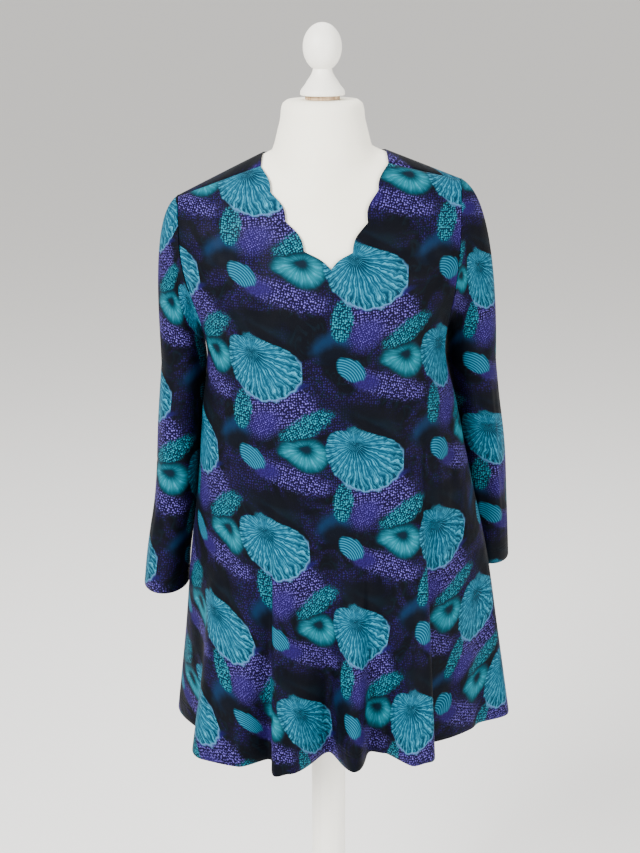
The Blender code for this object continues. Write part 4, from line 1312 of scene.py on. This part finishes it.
# ---- Tunic back
# The same cut as the front with a plain curved neck. It carries the tunic's weight over the form's
# shoulders, and its shoulder edge comes a little forward of the ridge.

BACK_NECK_Z = 1.405
BACK_NECK_CURVE = 0.7
BACK_NECK_TIP = (
    # inward from the neck point, below the ridge in front
    (0.0000, SEAM_DROP_NECK),
    (0.0003, 0.0100),
    (0.0006, 0.0076),
    (0.0009, 0.0052),
    (0.0012, 0.0032),
    (0.0015, 0.0014),
    (0.0018, 0.0002),
)
BACK_NECK_COLUMNS = 48
BACK_CREASES = (
    (-0.150, 1.230, -0.080, 1.150, 0.012, -0.0024),
    (-0.120, 1.120, -0.125, 0.820, 0.012, 0.0030),
    (-0.060, 1.150, -0.065, 0.900, 0.013, -0.0026),
    (0.020, 1.100, 0.030, 0.830, 0.014, 0.0028),
    (0.090, 1.160, 0.085, 0.850, 0.012, -0.0030),
    (0.145, 1.240, 0.090, 1.170, 0.011, -0.0022),
    (0.140, 1.080, 0.150, 0.760, 0.012, 0.0030),
    (-0.170, 1.040, -0.185, 0.760, 0.010, -0.0026),
    (-0.070, 1.335, 0.060, 1.330, 0.013, 0.0016),
    (-0.020, 0.960, -0.030, 0.700, 0.011, -0.0024),
)


def back_half(side):
    """Back columns from one side seam to the centre: x, top z, hem angle, drop in front of the ridge."""
    arm_x, arm_z = armhole_stations(side, ARMHOLE_COLUMNS)
    top_x, top_z = shoulder_stations(side, SHOULDER_COLUMNS)
    tip_x = side * (NECK_POINT[side > 0] - table_column(BACK_NECK_TIP, 0))
    tip_drop = table_column(BACK_NECK_TIP, 1)
    neck_share = np.linspace(0, 1, BACK_NECK_COLUMNS + 1)[1:] ** 1.7
    neck_x = tip_x[-1] * (1 - neck_share)
    tip_top = float(ridge_z(tip_x[-1:])[0]) + CLOTH_EASE
    neck_z = tip_top + (BACK_NECK_Z - tip_top) * np.sin(neck_share * np.pi / 2) ** BACK_NECK_CURVE
    drop_arm = np.append(np.zeros(len(arm_x) - 1), SEAM_DROP_SHOULDER)
    x = np.concatenate([arm_x, top_x, tip_x, neck_x])
    drop = np.concatenate([drop_arm, ridge_z(top_x) + CLOTH_EASE - top_z, tip_drop, np.zeros(len(neck_x))])
    z = np.concatenate([arm_z, top_z, ridge_z(tip_x) + CLOTH_EASE - tip_drop, neck_z])
    hem = zone_angles(side, (len(arm_x), len(top_x), len(tip_x) + len(neck_x)), back=True)
    sewn = np.arange(len(x)) <= len(arm_x) + len(top_x)
    return np.stack([x, z, hem, drop, sewn], axis=1)


def make_back():
    stations = np.concatenate([back_half(-1), back_half(1)[::-1][1:]])
    x, z, hem, drop, sewn = stations.T
    over = drop > 0
    ridge = ridge_z(x) + CLOTH_EASE
    start_z = np.where(over, ridge - 2e-5, z)
    start_phi = top_angle(x, start_z, back=True)
    share = 0.008 + 0.992 * np.linspace(0, 1, UPPER_ROWS - 8) ** 1.5
    share = np.concatenate([[0.0, 0.004], share])[:, None]
    phi = start_phi * (1 - share) + skirt_angle(hem, np.full_like(hem, MID_Z))[0] * share
    level = start_z * (1 - share) + MID_Z * share
    lead_phi, lead_level = [], []
    for part in (1.0, 0.82, 0.62, 0.42, 0.24, 0.10):
        near_z = np.where(over, ridge - drop * part, z)
        apart = (1 - part) * 0.9
        lead_phi.append(np.where(over, top_angle(x, near_z), start_phi + (phi[1] - start_phi) * apart))
        lead_level.append(np.where(over, near_z, start_z + (level[1] - start_z) * apart))
    phi[0] = np.where(over, phi[0], start_phi + (phi[1] - start_phi) * 0.95)
    level[0] = np.where(over, level[0], start_z + (level[1] - start_z) * 0.95)
    lead_phi, lead_level = np.array(lead_phi), np.array(lead_level)
    lead, lead_out = body_point(lead_phi, lead_level), surface_normals(body_point, lead_phi, lead_level)
    upper, upper_out = body_point(phi, level), surface_normals(body_point, phi, level)
    lower, lower_out = skirt_rows(hem)
    centre_phi = top_angle(np.full_like(level, PRINT_CENTRE_X), level, back=True)
    across_up, rise = girth_run(centre_phi, phi, level), rise_run(phi, level)
    steps = np.linalg.norm(np.diff(np.concatenate([lead, upper[:1]]), axis=0), axis=2)
    lead_rise = rise[0] + np.cumsum(steps[::-1], axis=0)[::-1]
    lead_across = across_up[0] + 0 * lead_rise
    across_low, drop_low = skirt_cut(np.concatenate([upper[-1:], lower]), hem)
    points = np.concatenate([lead, upper, lower])
    normals = np.concatenate([lead_out, upper_out, lower_out])
    across = np.concatenate([lead_across, across_up, -across_low[1:]]) * print_ease(points[..., 2])
    up = np.concatenate([lead_rise, rise, drop_low[1:]]) + PRINT_LIFT
    points, normals, across, up = (values[:, ::-1] for values in (points, normals, across, up))
    return add_panel("back_panel", points, normals, sewn[::-1], across, up, BACK_CREASES, "tunic_back")


back_panel = make_back()

# ---- Sleeves
# Two long set-in tubes of the same jersey, eased into the armholes and hanging empty beside the
# body, with a turned cuff edge. The left one falls straight; the right one swings back.

HEAD_GAP = 0.0005
UNDERARM_FOLD = 0.03
UNDERARM_SWING = (0.002, 0.030)
HEAD_SETTING = (0.02, 0.50)
HEAD_HANG = (0.03, 0.60)
SLEEVE_LEFT = (
    # z, centre_x, centre_y, half_width, half_depth
    (1.120, -0.2036, 0.015, 0.0328, 0.052),
    (1.045, -0.2112, 0.014, 0.0327, 0.053),
    (0.920, -0.2221, 0.013, 0.0319, 0.054),
    (0.826, -0.2365, 0.011, 0.0325, 0.055),
    (0.785, -0.2405, 0.010, 0.0333, 0.056),
)
SLEEVE_RIGHT = (
    (1.120, 0.2071, 0.035, 0.0367, 0.052),
    (1.060, 0.2172, 0.050, 0.0355, 0.052),
    (0.980, 0.2290, 0.066, 0.0362, 0.052),
    (0.900, 0.2380, 0.080, 0.0340, 0.053),
    (0.795, 0.2475, 0.092, 0.0320, 0.055),
)
LEFT_PRINT_SHIFT = (0.02, 0.02)
RIGHT_PRINT_SHIFT = (0.06, 0.10)
SLEEVE_COLUMNS = 64
SLEEVE_HEAD_ROWS = 56
SLEEVE_LOWER_ROWS = 64
LEFT_SLEEVE_CREASES = (
    # turn, z at each end, half width round the sleeve in metres, depth
    (0.30, 1.06, 0.38, 0.80, 0.008, -0.0020),
    (0.42, 1.12, 0.47, 0.88, 0.009, 0.0018),
    (0.18, 1.08, 0.26, 0.95, 0.009, 0.0018),
    (0.10, 1.00, 0.55, 0.97, 0.010, 0.0014),
    (0.60, 1.10, 0.66, 0.82, 0.009, -0.0018),
    (0.80, 1.05, 0.76, 0.84, 0.010, 0.0018),
)
RIGHT_SLEEVE_CREASES = (
    (0.33, 1.14, 0.30, 0.80, 0.007, -0.0034),
    (0.26, 1.10, 0.22, 0.82, 0.009, 0.0026),
    (0.45, 1.12, 0.42, 0.86, 0.010, 0.0020),
    (0.12, 1.02, 0.48, 0.98, 0.011, 0.0016),
    (0.62, 1.10, 0.66, 0.84, 0.010, -0.0020),
    (0.82, 1.05, 0.78, 0.84, 0.010, 0.0018),
)


def armhole_loop(side):
    """Points, normals and outward directions round the armhole, from the underarm up the front."""
    x, z = armhole_stations(side, SLEEVE_COLUMNS)
    angle = np.concatenate([top_angle(x, z), top_angle(x[::-1], z[::-1], back=True)[1:-1]])
    level = np.concatenate([z, z[::-1][1:-1]])
    points, out = body_point(angle, level), surface_normals(body_point, angle, level)
    away = np.cross(np.roll(points, -1, axis=0) - np.roll(points, 1, axis=0), out)
    away /= np.linalg.norm(away, axis=1, keepdims=True)
    return points, out, away if side > 0 else -away


def oval_ring(row, count, side):
    z, centre_x, centre_y, half_width, half_depth = row
    turn = np.linspace(0, 2 * np.pi, count, endpoint=False)
    x = centre_x - side * half_width * np.cos(turn)
    return np.stack([x, centre_y - half_depth * np.sin(turn), np.full(count, z)], axis=1)


def sleeve_rows(table):
    levels = table_column(table, 0)[::-1]
    z = np.linspace(table[0][0], table[-1][0], SLEEVE_LOWER_ROWS + 1)
    columns = [smooth_curve(z, levels, table_column(table, i)[::-1]) for i in range(1, 5)]
    return np.stack([z, *columns], axis=1)


def sleeve_points(side, table):
    """Grid of the sleeve from the armhole down, and its outward normals."""
    points, out, away = armhole_loop(side)
    count = len(points)
    start, end = points + away * HEAD_GAP, oval_ring(table[0], count, side)
    reach = np.linalg.norm(end - start, axis=1, keepdims=True)
    under = np.clip(1 - (points[:, 2:] - UNDERARM_Z) / UNDERARM_FOLD, 0, 1)
    swing = np.array([side * UNDERARM_SWING[0], UNDERARM_SWING[1], 0.0])
    leave = away * (HEAD_SETTING[0] + HEAD_SETTING[1] * reach) + under * swing
    arrive = np.array([0, 0, -1.0]) * (HEAD_HANG[0] + HEAD_HANG[1] * reach)
    rings = []
    for t in np.linspace(0, 1, SLEEVE_HEAD_ROWS) ** 1.4:
        from_start = (1 + 2 * t) * (1 - t) ** 2 * start + t * (1 - t) ** 2 * leave
        rings.append(from_start + t * t * (3 - 2 * t) * end + t * t * (t - 1) * arrive)
    rings += [oval_ring(row, count, side) for row in sleeve_rows(table)[1:]]
    rings = np.array(rings)
    around = np.roll(rings, -1, axis=1) - np.roll(rings, 1, axis=1)
    n = np.cross(np.gradient(rings, axis=0), around) * (-side)
    n /= np.linalg.norm(n, axis=2, keepdims=True)
    n[0] = out
    return rings, n


def close_rows(grid):
    """The grid with its first column again at its end, where the tube's long seam is."""
    return np.concatenate([grid, grid[:, :1]], axis=1)


def make_sleeve(name, side, table, creases, shift, replaced):
    points, normals = sleeve_points(side, table)
    down, run = length_down(points), length_across(close_rows(points))
    girth = run[:, -1:]
    turn = run[:, :-1] / girth
    height = -edge_fade(down) * SEAM_SINK
    for turn_0, z_0, turn_1, z_1, half_width, depth in creases:
        t = np.clip((z_0 - points[..., 2]) / (z_0 - z_1), 0, 1)
        off = (turn - (turn_0 + (turn_1 - turn_0) * t)) * girth
        height += depth * np.sin(np.pi * t) ** 0.8 * np.exp(-((off / half_width) ** 2))
    closed = close_rows(points + normals * height[..., None])
    down = close_rows(down - down[SLEEVE_HEAD_ROWS - 1])
    quads = grid_quads(*closed.shape[:2])
    if side < 0:
        quads = quads[:, ::-1]
    made = add_piece(name, closed, quads.tolist(), [face_cloth, reverse_cloth], replaced)
    set_uv(made, "cut", side * (run - 0.5 * girth) + shift[0], shift[1] - down)
    set_uv(made, "edge", run, closed[..., 2] - table[-1][0])
    thicken(made)
    return made


left_sleeve = make_sleeve(
    "left_sleeve", -1, SLEEVE_LEFT, LEFT_SLEEVE_CREASES, LEFT_PRINT_SHIFT, "sleeve_left"
)
right_sleeve = make_sleeve(
    "right_sleeve", 1, SLEEVE_RIGHT, RIGHT_SLEEVE_CREASES, RIGHT_PRINT_SHIFT, "sleeve_right"
)
